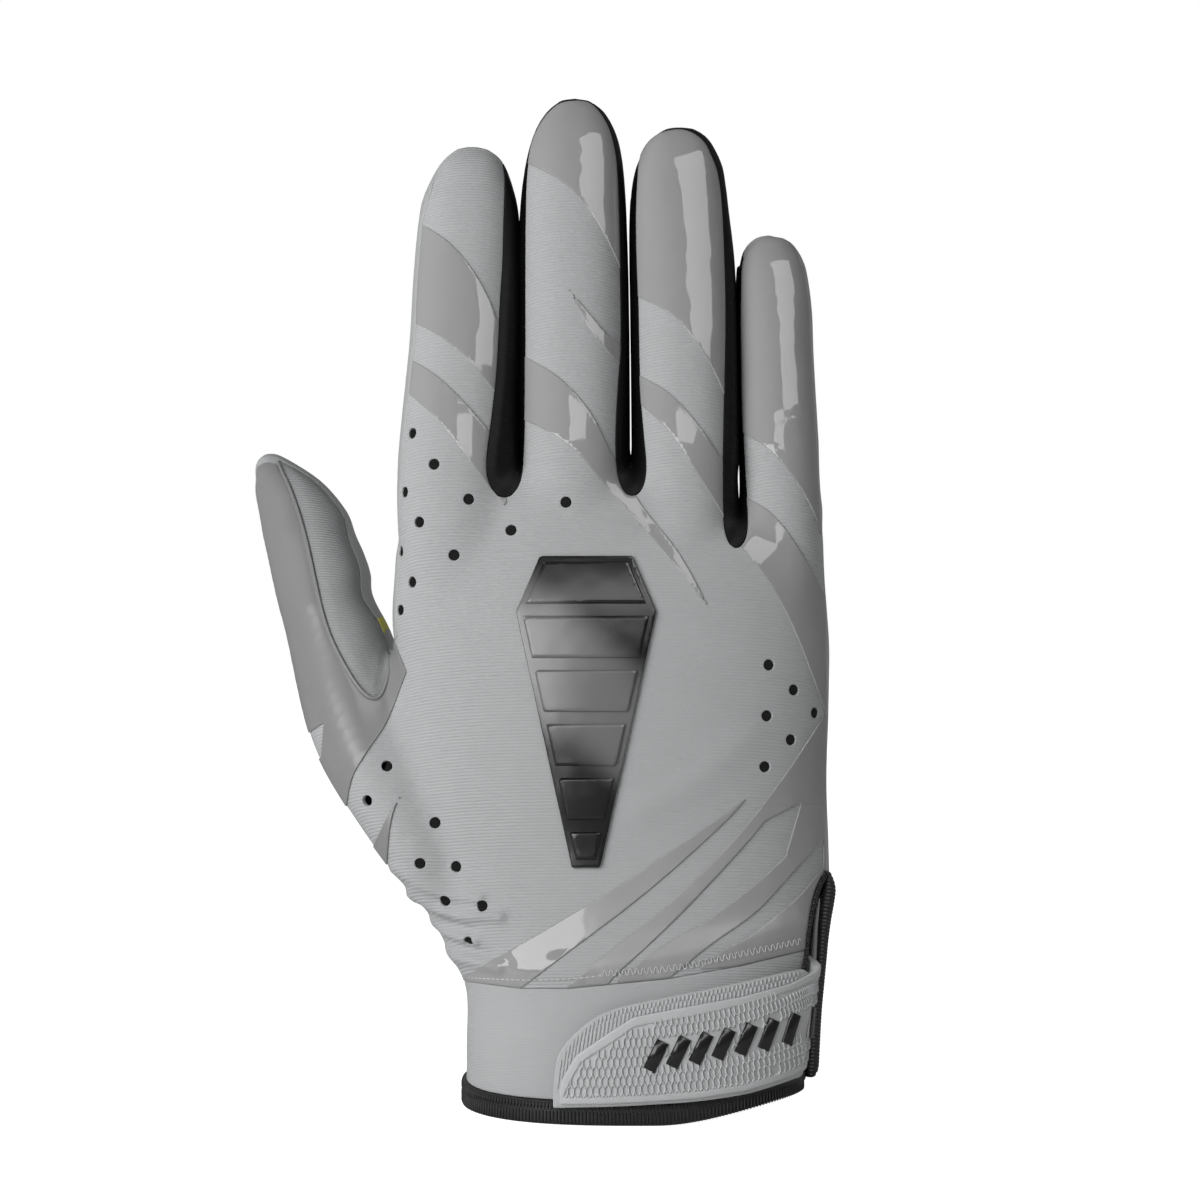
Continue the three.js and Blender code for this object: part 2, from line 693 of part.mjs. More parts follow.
// Moulded flex pad on the back: bars on one thin web
function barOutline([top, bottom]) {
  const inner = grown(padPx, -padMarginPx);
  const [topLeft, topRight, midRight, lowRight, lowLeft, midLeft] = inner;
  const edgeAt = (row, a, b) => a[0] + ((b[0] - a[0]) * (row - a[1])) / (b[1] - a[1]);
  const sideAt = (row, a, b, c) => (row < b[1] ? edgeAt(row, a, b) : edgeAt(row, b, c));
  const rightAt = (row) => sideAt(row, topRight, midRight, lowRight);
  const leftAt = (row) => sideAt(row, topLeft, midLeft, lowLeft);
  return [
    [leftAt(top), top],
    [rightAt(top), top],
    [rightAt(bottom), bottom],
    [leftAt(bottom), bottom],
  ];
}
const padWeb = layer(filmLow, filmLow + padBase).intersect(sightPrism(padPx, -3 * overrun, 0));
const padBars = layer(filmLow, filmLow + padHeight).intersect(
  union(padBarRowsPx.map((rows) => sightPrism(barOutline(rows), -3 * overrun, 0))),
);
addPiece("back_pad", padWeb.add(padBars), "gloss");

// Cuff, its bindings and the elastic inside the wrist
const cuffShell = shell.intersect(belowSeam(0)).subtract(slab(-overrun, hemHeight + seamGap));
const slitAll = slit.add(slitEdge);
addPiece("cuff_back", cuffShell.intersect(backSide).subtract(slitAll), "knit");
addPiece("cuff_palm", cuffShell.intersect(palmSide), "grip");
const hemRing = trunkAt(bindingProud).subtract(trunkAt(-wall - bindingProud, true));
addPiece("hem_binding", hemRing.intersect(slab(0, hemHeight)).subtract(slit), "elastic");
const edgeRing = formAt(bindingProud).subtract(formAt(-wall - bindingProud, true));
const frontEdge = edgeRing
  .intersect(sightPrism(slitBindingPx, -3 * overrun, slitFloor))
  .subtract(slab(-overrun, hemHeight + seamGap));
addPiece("slit_binding_back", frontEdge, "elastic");
const rearEdge = rearBindingPx.map(([row, left, right]) => {
  const seat = readShares(handSplitShares, row) * handDepth - seamGap / 2;
  return section(row, left, right, seat - palmBindingWidth, seat);
});
addPiece("slit_binding_palm", loft(rearEdge, bindingSides, digitPowerShare), "elastic");
const elasticHigh = meshHigh - meshThickness - seamGap;
const elasticLow = cuffHeightThumbSide + elasticWidth / 2;
const elastic = lining(elasticHigh - elasticThickness, elasticHigh)
  .intersect(slab(elasticLow, elasticLow + elasticWidth))
  .intersect(levelPrism([[-palmBreadth, 0], [0, 0], [0, gloveHeight], [-palmBreadth, gloveHeight]]));
addPiece("wrist_elastic", elastic, "elastic");

// Strap: loop patch on the cuff, then hook patch, woven body and moulded face
const loopLow = seamGap;
const hookLow = loopLow + patchThickness + seamGap;
const strapLow = hookLow + patchThickness + seamGap;
const mouldingLow = strapLow + strapThickness + seamGap;
const frontOnly = (outline) => sightPrism(outline, -3 * overrun, 0);
const loopLayer = trunkLayer(loopLow, loopLow + patchThickness);
addPiece("loop_patch", loopLayer.intersect(frontOnly(loopPatchPx)), "elastic");
const hookLayer = trunkLayer(hookLow, hookLow + patchThickness);
addPiece("hook_patch", hookLayer.intersect(frontOnly(hookPatchPx)), "elastic");
const strap = trunkLayer(strapLow, strapLow + strapThickness).intersect(
  sightPrism(strapPx, -3 * overrun, slitFloor),
);
addPiece("strap_body", strap, "knit");
const moulding = trunkLayer(mouldingLow, mouldingLow + mouldingThickness).intersect(
  sightPrism(mouldingPx, -3 * overrun, slitFloor),
);
addPiece("strap_moulding", moulding, "rubber");

// Strap anchor: a woven tail that runs from the strap's root through the slit to the palm lining
const anchorPath = anchorPx.map(([px, share]) => {
  const depth = share * handDepth;
  return new THREE.Vector2(acrossAt(px, depth), depth);
});
const anchorCurve = new THREE.SplineCurve(anchorPath).getSpacedPoints(anchorSides);
const anchorSide = (side) =>
  anchorCurve.map((p, i) => {
    const before = anchorCurve[Math.max(i - 1, 0)];
    const after = anchorCurve[Math.min(i + 1, anchorSides)];
    const along = after.clone().sub(before).normalize();
    const out = (side * strapThickness) / 2;
    return new THREE.Vector2(p.x - along.y * out, p.y + along.x * out);
  });
const anchorShape = new THREE.Shape([...anchorSide(1), ...anchorSide(-1).reverse()]);
const anchorRun = { depth: anchorHeight, bevelEnabled: false };
const anchorGeometry = new THREE.ExtrudeGeometry(anchorShape, anchorRun);
anchorGeometry.translate(0, 0, anchorFoot);
addPiece("strap_anchor", solidOf(anchorGeometry), "elastic");

// Origin under the middle of the whole glove
const bounds = new THREE.Box3().setFromObject(group);
const middle = bounds.getCenter(new THREE.Vector3());
group.position.set(-middle.x, -middle.y, -bounds.min.z);

export default group;
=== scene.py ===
import math

import bpy
import numpy as np
from mathutils import Matrix, Vector

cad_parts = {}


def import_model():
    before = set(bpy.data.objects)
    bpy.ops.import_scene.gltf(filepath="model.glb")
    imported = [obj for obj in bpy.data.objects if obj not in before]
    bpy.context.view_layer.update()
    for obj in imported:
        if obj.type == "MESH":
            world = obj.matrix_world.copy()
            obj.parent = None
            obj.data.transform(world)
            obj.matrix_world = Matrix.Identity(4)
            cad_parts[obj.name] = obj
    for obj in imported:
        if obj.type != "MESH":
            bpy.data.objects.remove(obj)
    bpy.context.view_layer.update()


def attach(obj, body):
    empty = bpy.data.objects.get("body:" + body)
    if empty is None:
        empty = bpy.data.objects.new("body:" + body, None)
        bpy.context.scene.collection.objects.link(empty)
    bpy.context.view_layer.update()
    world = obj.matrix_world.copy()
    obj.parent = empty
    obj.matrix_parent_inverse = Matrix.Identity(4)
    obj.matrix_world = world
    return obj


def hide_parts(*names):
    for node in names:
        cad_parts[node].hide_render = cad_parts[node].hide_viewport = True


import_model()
print("frame loaded")

# The picture that the outlines are drawn on, and how it lies in the frame. Lengths are in millimetres.
picture = {"middle": 600.0, "across": 96.5 / 434, "up": 223 / 1004, "eye": 110.39, "distance": 480.0}
shift = {"x": 14.282, "y": 1.022}  # from the hand's own middle to the frame's
metre = 0.001
glove, strapBody = "glove", "strap"


def acrossAt(px, depth):
    return (px - picture["middle"]) * picture["across"] * (1 + depth / picture["distance"]) + shift["x"]


def upAt(row, depth):
    return picture["eye"] + (picture["middle"] - row) * picture["up"] * (1 + depth / picture["distance"])


def pixelOf(p):
    k = 1 + (p[:, 1] - shift["y"]) / picture["distance"]
    px = picture["middle"] + (p[:, 0] - shift["x"]) / (picture["across"] * k)
    row = picture["middle"] - (p[:, 2] - picture["eye"]) / (picture["up"] * k)
    return px, row


# Camera first
lens = {"sensor": 36.0, "near": 0.01, "far": 100.0}
cameraData = bpy.data.cameras.new("camera")
camera = bpy.data.objects.new("camera", cameraData)
bpy.context.scene.collection.objects.link(camera)
camera.location = Vector((shift["x"], shift["y"] - picture["distance"], picture["eye"])) * metre
camera.rotation_euler = (math.pi / 2, 0, 0)
cameraData.sensor_width = lens["sensor"]
cameraData.lens = lens["sensor"] * picture["distance"] / (2 * picture["middle"] * picture["across"])
cameraData.clip_start = lens["near"]
cameraData.clip_end = lens["far"]
bpy.context.scene.camera = camera

# Hand stations: row, left, right, then back and palm depths as shares of handDepth
hand = {"handDepth": 32.0, "fingerDepth": 24.0, "fingerCurl": 6.8, "wall": 1.0, "voxel": 0.8, "narrow": 0.8}
trunkRows = [
    [1160, 467, 788, -0.84, 0.72], [1110, 467, 794, -0.84, 0.72], [1075, 467, 805, -0.84, 0.72],
    [1045, 467, 815, -0.83, 0.72],
    [985, 466, 821, -0.78, 0.7], [955, 453, 825, -0.73, 0.69], [925, 440, 828, -0.68, 0.67],
    [890, 427, 829, -0.63, 0.65], [845, 415, 828, -0.58, 0.62], [780, 405, 826, -0.56, 0.59],
    [710, 399, 828, -0.54, 0.55], [650, 392.5, 829, -0.52, 0.52], [630, 391.5, 829, -0.505, 0.5],
    [610, 392.5, 828, -0.49, 0.48],
    [575, 395, 826, -0.45, 0.45], [550, 397, 824, -0.41, 0.41], [533, 402, 819, -0.33, 0.34],
    [525, 411, 811, -0.22, 0.23],
]
thumbRows = [
    [940, 446, 482, -0.22, 0.3], [898, 417, 480, -0.38, 0.54], [850, 379, 468, -0.44, 0.67],
    [770, 326, 444, -0.33, 0.7], [730, 309, 426, -0.25, 0.72], [690, 299, 407, -0.17, 0.74],
    [655, 291.5, 400, -0.095, 0.77], [640, 288.3, 395, -0.063, 0.783], [628, 285.8, 389.8, -0.037, 0.793],
    [620, 284, 385.3, -0.02, 0.8], [604, 280, 376, 0.01, 0.81], [590, 276.5, 371, 0.045, 0.82],
    [575, 273, 370.5, 0.08, 0.835], [553, 268, 363.5, 0.135, 0.855], [535, 264, 355.5, 0.18, 0.87],
    [514, 260, 348, 0.25, 0.9], [490, 256, 330, 0.33, 0.92], [475, 258, 314, 0.4, 0.92],
    [465, 264, 303, 0.48, 0.89], [457, 273, 293, 0.56, 0.8], [453, 283, 283, 0.68, 0.68],
]
webRows = [
    [610, 450, 700, -0.46, 0.46], [530, 450, 700, -0.39, 0.39], [500, 452, 696, -0.34, 0.35],
    [484, 456, 692, -0.26, 0.27], [476, 462, 686, -0.16, 0.17],
]
# Finger stations: row, left, right, then the middle as a share of fingerCurl and the thickness of fingerDepth
fingerRows = {
    "index": [
        [640, 408, 512, 0, 0.95], [520, 398, 517, 0, 1.02], [460, 398.5, 517, 0.03, 0.98],
        [340, 410, 518.5, 0.2, 0.88], [280, 413.5, 519, 0.35, 0.83], [225, 418.5, 518.5, 0.56, 0.78],
        [200, 423, 516, 0.66, 0.73], [168, 438.5, 506, 0.82, 0.57], [158, 447, 499, 0.88, 0.44],
        [151, 457, 488, 0.93, 0.29], [146.8, 472, 472, 0.94, 0],
    ],
    "middle": [
        [640, 520, 630, 0, 0.95], [480, 521.5, 629, 0, 1], [320, 521.5, 628, 0.22, 0.9],
        [250, 521.5, 626.5, 0.41, 0.84], [190, 523.5, 624.5, 0.62, 0.78], [160, 527, 622, 0.74, 0.73],
        [140, 532, 618, 0.82, 0.66], [124, 539, 611.5, 0.9, 0.56], [111, 548.5, 602.5, 0.96, 0.43],
        [103, 560, 590, 1, 0.29], [98.5, 576, 576, 1, 0],
    ],
    "ring": [
        [640, 634, 738, 0, 0.95], [480, 633, 737, 0.01, 0.97], [320, 631.5, 734, 0.24, 0.87],
        [260, 630.5, 732, 0.4, 0.82], [215, 630.5, 728, 0.53, 0.77], [188, 632, 725.5, 0.63, 0.72],
        [168, 636, 722.5, 0.72, 0.66], [152, 643, 716, 0.78, 0.57], [139, 652, 707.5, 0.84, 0.44],
        [131.5, 663.5, 696, 0.88, 0.29], [127, 680, 680, 0.88, 0],
    ],
    "little": [
        [660, 752, 816, 0, 0.8], [540, 742, 824, 0.03, 0.89], [480, 741, 820.5, 0.09, 0.85],
        [360, 739.5, 813.5, 0.29, 0.75], [310, 738.5, 811.5, 0.43, 0.7], [285, 738.5, 808.5, 0.5, 0.66],
        [267, 739.5, 805, 0.56, 0.59], [252, 743, 798, 0.62, 0.48], [243, 749.5, 790, 0.66, 0.37],
        [238.5, 757, 779, 0.69, 0.25], [235, 767, 767, 0.69, 0],
    ],
}
crotchRows = {"index": 482, "middle": 482, "ring": 482, "little": 536}
rampPx = 32
fingerEdgesPx = [519.5, 631, 739.5]  # between neighbouring fingers


# A curve from a to b that leaves and arrives with the given slopes
def hermite(a, b, leave, arrive, s):
    return ((2 * s**3 - 3 * s**2 + 1) * a + (s**3 - 2 * s**2 + s) * leave
            + (3 * s**2 - 2 * s**3) * b + (s**3 - s**2) * arrive)


def denseRows(rows, count):
    t = np.array(rows, float)
    gap = np.hypot(np.diff(t[:, 0]), np.diff(t[:, 2] - t[:, 1]) / 2) ** 0.5
    u = np.concatenate([[0], np.cumsum(gap)])
    slope = np.gradient(t, u, axis=0)
    if t[-1, 1] == t[-1, 2]:
        slope[-1, 0] = 0  # a round tip
    at = np.linspace(0, u[-1], count)
    i = np.clip(np.searchsorted(u, at, side="right") - 1, 0, len(u) - 2)
    h = (u[i + 1] - u[i])[:, None]
    return hermite(t[i], t[i + 1], slope[i] * h, slope[i + 1] * h, (at - u[i])[:, None] / h)


def depthRows(rows, finger=False):
    t = np.array(rows, float)
    if finger:
        middle, half = t[:, 3] * hand["fingerCurl"], t[:, 4] * hand["fingerDepth"] / 2
        t[:, 3], t[:, 4] = middle - half, middle + half
    else:
        t[:, 3:] *= hand["handDepth"]
    return t


def smoothStep(x):
    x = np.clip(x, 0, 1)
    return x * x * (3 - 2 * x)


# Masks that fade in past or before a bound, which is a start and a fade
def past(value, bound):
    return smoothStep((value - bound[0]) / bound[1])


def before(value, bound):
    return smoothStep((bound[0] - value) / bound[1])


def sectionSizes(rows):
    row, left, right, back, front = rows.T
    depth = (back + front) / 2
    low, high = acrossAt(left, depth), acrossAt(right, depth)
    return (low + high) / 2, depth + shift["y"], upAt(row, depth), (high - low) / 2, (front - back) / 2


def loft(rows, sides, power, narrow=None):
    x, y, z, wide, deep = sectionSizes(rows)
    if narrow is not None:
        wide = np.maximum(wide - narrow, wide * 0.6)
    turn = np.linspace(0, 2 * np.pi, sides, endpoint=False)
    c = np.sign(np.cos(turn)) * np.abs(np.cos(turn)) ** (2 / power)
    d = np.sign(np.sin(turn)) * np.abs(np.sin(turn)) ** (2 / power)
    ring = np.stack([x[:, None] + wide[:, None] * c, y[:, None] + deep[:, None] * d,
                     np.repeat(z[:, None], sides, 1)], 2)
    points = np.concatenate([ring.reshape(-1, 3), ring[0].mean(0)[None], ring[-1].mean(0)[None]])
    count = len(rows)
    i, k = np.meshgrid(np.arange(count - 1), np.arange(sides), indexing="ij")
    a, b = (i * sides + k).ravel(), (i * sides + (k + 1) % sides).ravel()
    faces = np.concatenate([np.stack([a, b, b + sides], 1), np.stack([a, b + sides, a + sides], 1)])
    k = np.arange(sides)
    foot, top = count * sides, (count - 1) * sides
    ends = np.concatenate([np.stack([np.full(sides, foot), (k + 1) % sides, k], 1),
                           np.stack([top + k, top + (k + 1) % sides, np.full(sides, foot + 1)], 1)])
    return points, np.concatenate([faces, ends])


def meshFrom(name, points, faces, smooth=True):
    mesh = bpy.data.meshes.new(name)
    points, faces = np.asarray(points, np.float32) * metre, np.asarray(faces, np.int32)
    mesh.vertices.add(len(points))
    mesh.vertices.foreach_set("co", points.ravel())
    mesh.loops.add(faces.size)
    mesh.loops.foreach_set("vertex_index", faces.ravel())
    mesh.polygons.add(len(faces))
    mesh.polygons.foreach_set("loop_start", np.arange(0, faces.size, faces.shape[1], dtype=np.int32))
    mesh.update(calc_edges=True)
    if smooth:
        mesh.polygons.foreach_set("use_smooth", np.ones(len(faces), bool))
        mesh.set_sharp_from_angle(angle=math.radians(52))
    return mesh


def objectFrom(name, points, faces, smooth=True):
    made = bpy.data.objects.new(name, meshFrom(name, points, faces, smooth))
    bpy.context.scene.collection.objects.link(made)
    return made


def joined(parts):
    points, faces, count = [], [], 0
    for p, t in parts:
        points.append(p)
        faces.append(t + count)
        count += len(p)
    return np.concatenate(points), np.concatenate(faces)


def arraysOf(mesh):
    mesh.calc_loop_triangles()
    p = np.zeros(len(mesh.vertices) * 3, np.float32)
    mesh.vertices.foreach_get("co", p)
    t = np.zeros(len(mesh.loop_triangles) * 3, np.int32)
    mesh.loop_triangles.foreach_get("vertices", t)
    return p.reshape(-1, 3).astype(float) / metre, t.reshape(-1, 3).astype(np.int64)


def normalsOf(p, t):
    n = np.cross(p[t[:, 1]] - p[t[:, 0]], p[t[:, 2]] - p[t[:, 0]])
    out = np.stack([sum(np.bincount(t[:, k], n[:, axis], len(p)) for k in range(3)) for axis in range(3)], 1)
    return out / np.maximum(np.linalg.norm(out, axis=1, keepdims=True), 1e-12)


def relax(p, t, rounds, weight, back=0.0):
    edges = np.unique(np.sort(np.concatenate([t[:, [0, 1]], t[:, [1, 2]], t[:, [2, 0]]]), 1), axis=0)
    a, b = edges.T
    near = np.bincount(a, minlength=len(p)) + np.bincount(b, minlength=len(p))
    for _ in range(rounds):
        for share in (weight, -weight * back):
            if np.any(share):
                total = np.stack([np.bincount(a, p[b, k], len(p)) + np.bincount(b, p[a, k], len(p))
                                  for k in range(3)], 1)
                p = p + (total / near[:, None] - p) * (share[:, None] if np.ndim(share) else share)
    return p


# The whole hand as one smooth skin. Stations, sides and squareness of each body that it is made of
lofts = {"trunk": (150, 96, 2.5), "thumb": (110, 64, 2.2), "web": (24, 80, 2.5), "finger": (140, 64, 2.3)}
# Where it is smoothed again, in picture points: bounds and how far they fade. The depth is in millimetres
knuckles = {"foot": (660, 60), "top": (440, 40), "left": (405, 30)}
thumbRoot = {"foot": (970, 60), "top": (600, 60), "right": (470, 40)}
thumbCrotch = {"middle": (394, 690), "spread": (26, 48), "depth": 14}


# The fingers are parted a little while they are remeshed, and widened again after it
def narrowAt(name, row):
    return hand["narrow"] * smoothStep((crotchRows[name] - row) / rampPx)


def buildHand():
    bodies = []
    for name, rows in (("trunk", trunkRows), ("thumb", thumbRows), ("web", webRows)):
        stations, sides, power = lofts[name]
        bodies.append(loft(denseRows(depthRows(rows), stations), sides, power))
    stations, sides, power = lofts["finger"]
    for name, rows in fingerRows.items():
        dense = denseRows(depthRows(rows, True), stations)
        bodies.append(loft(dense, sides, power, narrowAt(name, dense[:, 0])))
    rough = objectFrom("roughHand", *joined(bodies), False)
    remesh = rough.modifiers.new("remesh", "REMESH")
    remesh.mode = "VOXEL"
    remesh.voxel_size = hand["voxel"] * metre
    made = rough.evaluated_get(bpy.context.evaluated_depsgraph_get())
    p, t = arraysOf(made.to_mesh())
    made.to_mesh_clear()
    bpy.data.objects.remove(rough)
    return p, t


def widenFingers(p):
    px, row = pixelOf(p)
    which = np.searchsorted(fingerEdgesPx, px)
    for k, (name, rows) in enumerate(fingerRows.items()):
        mine = (which == k) & (row < crotchRows[name])
        dense = denseRows(depthRows(rows, True), lofts["finger"][0])
        order = np.argsort(dense[:, 0])
        x, _, _, wide, _ = sectionSizes(dense)
        at = row[mine]
        middle = np.interp(at, dense[order, 0], x[order])
        half = np.interp(at, dense[order, 0], np.maximum(wide, 2.0)[order])
        p[mine, 0] = middle + (p[mine, 0] - middle) * half / (half - np.minimum(narrowAt(name, at), half * 0.4))
    return p


def smoothed(p, t):
    p = relax(p, t, 10, 0.5, 1.04)
    px, row = pixelOf(p)
    atKnuckles = before(row, knuckles["foot"]) * past(row, knuckles["top"]) * past(px, knuckles["left"])
    atThumb = past(row, thumbRoot["top"]) * before(row, thumbRoot["foot"]) * before(px, thumbRoot["right"])
    p = relax(p, t, 45, 0.6 * np.maximum(atKnuckles, atThumb))
    (x, y), (wide, tall) = thumbCrotch["middle"], thumbCrotch["spread"]
    inCrotch = np.exp(-((px - x) / wide) ** 2 - ((row - y) / tall) ** 2) * (p[:, 1] < thumbCrotch["depth"])
    p = relax(p, t, 60, 0.9 * smoothStep(1.6 * inCrotch))
    return relax(widenFingers(p), t, 4, 0.5, 1.04)


# Gathers at the wrist: a line on the picture, its height in millimetres and its half width in picture points
gathers = [
    ([[396, 868], [418, 884], [446, 895], [480, 899]], 0.9, 6),
    ([[412, 893], [434, 908], [462, 916], [500, 917]], 1.2, 6),
    ([[430, 921], [447, 934], [476, 941]], 0.9, 5), ([[440, 941], [458, 957], [500, 967]], 1.1, 6),
    ([[420, 907], [440, 922], [470, 930]], -0.7, 5), ([[436, 932], [455, 947], [490, 955]], -0.7, 5),
    ([[520, 972], [600, 966], [680, 955], [760, 936], [800, 924]], 0.7, 15),
    ([[640, 812], [700, 780], [750, 735]], 0.3, 16),
]
gatherDepth = (4, 8)  # they fade out towards the palm


def lineDistance(x, y, line):
    best = np.full(len(x), 1e9)
    for (x0, y0), (x1, y1) in zip(line[:-1], line[1:]):
        dx, dy = x1 - x0, y1 - y0
        s = np.clip(((x - x0) * dx + (y - y0) * dy) / (dx * dx + dy * dy), 0, 1)
        best = np.minimum(best, np.hypot(x - x0 - s * dx, y - y0 - s * dy))
    return best


def gathered(p, t):
    px, row = pixelOf(p)
    rise = np.zeros(len(px))
    for line, height, half in gathers:
        rise += height * np.exp(-(lineDistance(px, row, line) / half) ** 2)
    rise *= before(p[:, 1], gatherDepth)
    return p + normalsOf(p, t) * rise[:, None]


handPoints, handFaces = buildHand()
handPoints = gathered(smoothed(handPoints, handFaces), handFaces)
print("hand skin:", len(handFaces), "triangles")


# A skin is a dictionary of points p, normals n, triangles t and carried values a
def mix(skin, a, b, u):
    u = u[:, None]
    d = skin["p"][b] - skin["p"][a]
    n = skin["n"][a] * (1 - u) + skin["n"][b] * u
    n /= np.maximum(np.linalg.norm(n, axis=1, keepdims=True), 1e-9)
    bulge = 0.5 * u * (1 - u) * np.sum((skin["n"][b] - skin["n"][a]) * d, 1, keepdims=True)
    return {"p": skin["p"][a] + u * d + bulge * n, "n": n, "a": skin["a"][a] * (1 - u) + skin["a"][b] * u}


def grow(skin, new, t):
    return {k: np.concatenate([skin[k], new[k]]) for k in ("p", "n", "a")} | {"t": t}


def splitAlong(skin, f):
    f = np.where(np.abs(f) < 1e-3, 1e-3, f)
    t, count = skin["t"], len(skin["p"])
    side = (f > 0)[t]
    mixed = side.any(1) & ~side.all(1)
    tm, sm = t[mixed], side[mixed]
    lone = np.where(sm.sum(1) == 1, sm.argmax(1), (~sm).argmax(1))
    tm = np.take_along_axis(tm, (lone[:, None] + np.arange(3)) % 3, 1)
    ends = np.sort(np.concatenate([tm[:, [0, 1]], tm[:, [0, 2]]]), 1)
    code, back = np.unique(ends[:, 0] * count + ends[:, 1], return_inverse=True)
    a, b = code // count, code % count
    new = mix(skin, a, b, f[a] / (f[a] - f[b]))
    e01, e02 = count + back[:len(tm)], count + back[len(tm):]
    made = np.concatenate([np.stack([tm[:, 0], e01, e02], 1), np.stack([e01, tm[:, 1], tm[:, 2]], 1),
                           np.stack([e01, tm[:, 2], e02], 1)])
    return grow(skin, new, np.concatenate([t[~mixed], made])), np.concatenate([f, np.zeros(len(a))])


def only(skin, keep):
    t = skin["t"][keep]
    used, back = np.unique(t, return_inverse=True)
    return {k: skin[k][used] for k in ("p", "n", "a")} | {"t": back.reshape(-1, 3)}


def clip(skin, field, least=0.0):
    skin, f = splitAlong(skin, field(skin) - least)
    return only(skin, f[skin["t"]].max(1) > 0)


def refine(skin, near):
    t, count = skin["t"], len(skin["p"])
    ends = np.concatenate([t[:, [0, 1]], t[:, [1, 2]], t[:, [2, 0]]])
    code = np.sort(ends, 1)
    code = code[:, 0] * count + code[:, 1]
    marked = near[ends].any(1)
    unique, back = np.unique(code[marked], return_inverse=True)
    a, b = unique // count, unique % count
    new = mix(skin, a, b, np.full(len(a), 0.5))
    ids = np.full(len(ends), -1)
    ids[marked] = count + back
    m = ids.reshape(3, -1).T
    number = (m >= 0).sum(1)
    out = [t[number == 0]]

    def turned(which, first):
        r = (first[:, None] + np.arange(3)) % 3
        return np.take_along_axis(t[which], r, 1).T, np.take_along_axis(m[which], r, 1).T

    which = number == 3
    (v0, v1, v2), (m0, m1, m2) = t[which].T, m[which].T
    out += [np.stack(f, 1) for f in ((v0, m0, m2), (m0, v1, m1), (m2, m1, v2), (m0, m1, m2))]
    which = number == 1
    (v0, v1, v2), (m0, m1, m2) = turned(which, (m[which] >= 0).argmax(1))
    out += [np.stack(f, 1) for f in ((v0, m0, v2), (m0, v1, v2))]
    which = number == 2
    (v0, v1, v2), (m0, m1, m2) = turned(which, (m[which] < 0).argmax(1))
    out += [np.stack(f, 1) for f in ((v0, v1, m1), (v0, m1, m2), (m2, m1, v2))]
    return grow(skin, new, np.concatenate(out))


# Fields give a signed distance over the skin in millimetres, positive inside
def curved(outline, steps=4, corner=38):
    q = np.array(outline, float)
    before, after = np.roll(q, 1, 0), np.roll(q, -1, 0)
    a, b = q - before, after - q
    bend = np.abs(np.angle((b[:, 0] + 1j * b[:, 1]) / (a[:, 0] + 1j * a[:, 1]), deg=True))
    slope = (after - before) / 2
    sharp = bend > corner
    out = []
    for i in range(len(q)):
        k = (i + 1) % len(q)
        chord = q[k] - q[i]
        size = np.linalg.norm(chord)
        m0 = chord if sharp[i] else slope[i] * size / max(np.linalg.norm(slope[i]), 1e-9)
        m1 = chord if sharp[k] else slope[k] * size / max(np.linalg.norm(slope[k]), 1e-9)
        out += [hermite(q[i], q[k], m0, m1, s) for s in np.arange(steps) / steps]
    return np.array(out)


def flatDistance(x, y, outline):
    best = np.full(len(x), 1e18)
    gx, gy = np.zeros(len(x)), np.zeros(len(x))
    inside = np.zeros(len(x), bool)
    for (x0, y0), (x1, y1) in zip(outline, np.roll(outline, -1, 0)):
        dx, dy = x1 - x0, y1 - y0
        s = np.clip(((x - x0) * dx + (y - y0) * dy) / max(dx * dx + dy * dy, 1e-12), 0, 1)
        ex, ey = x - x0 - s * dx, y - y0 - s * dy
        d = ex * ex + ey * ey
        closer = d < best
        best = np.where(closer, d, best)
        gx, gy = np.where(closer, ex, gx), np.where(closer, ey, gy)
        if y0 != y1:
            inside ^= ((y0 > y) != (y1 > y)) & (x < x0 + (y - y0) * dx / dy)
    d = np.sqrt(best)
    sign = np.where(inside, 1.0, -1.0)
    return sign * d, sign * gx / np.maximum(d, 1e-9), sign * gy / np.maximum(d, 1e-9)


def outlineField(outline, smooth=True, margin=40, corner=38):
    ready = curved(outline, corner=corner) if smooth else np.array(outline, float)
    low, high = ready.min(0) - margin, ready.max(0) + margin

    def field(skin):
        px, row = pixelOf(skin["p"])
        near = (px > low[0]) & (px < high[0]) & (row > low[1]) & (row < high[1])
        out = np.full(len(px), -margin * picture["across"])
        d, gx, gy = flatDistance(px[near], row[near], ready)
        n = skin["n"][near]
        along = np.clip(gx * n[:, 0] - gy * n[:, 2], -0.97, 0.97)
        out[near] = d * picture["across"] / np.sqrt(1 - along**2)
        return out
    return field


def outside(field):
    return lambda skin: -field(skin)


def least(*fields):
    return lambda skin: np.min([f(skin) for f in fields], 0)


def most(*fields):
    return lambda skin: np.max([f(skin) for f in fields], 0)


def hold(skin, *values):
    return skin | {"a": np.stack(values, 1) if values else np.zeros((len(skin["p"]), 0))}


# Rows of points at set distances from an edge, so that the edge can be rolled over
def edgeRows(skin, k, steps):
    for step in steps:
        skin, _ = splitAlong(skin, skin["a"][:, k] - step)
    return skin


def rolled(edge, radius):
    return radius * (1 - np.sqrt(np.clip(1 - (1 - np.clip(edge / radius, 0, 1)) ** 2, 0, 1)))


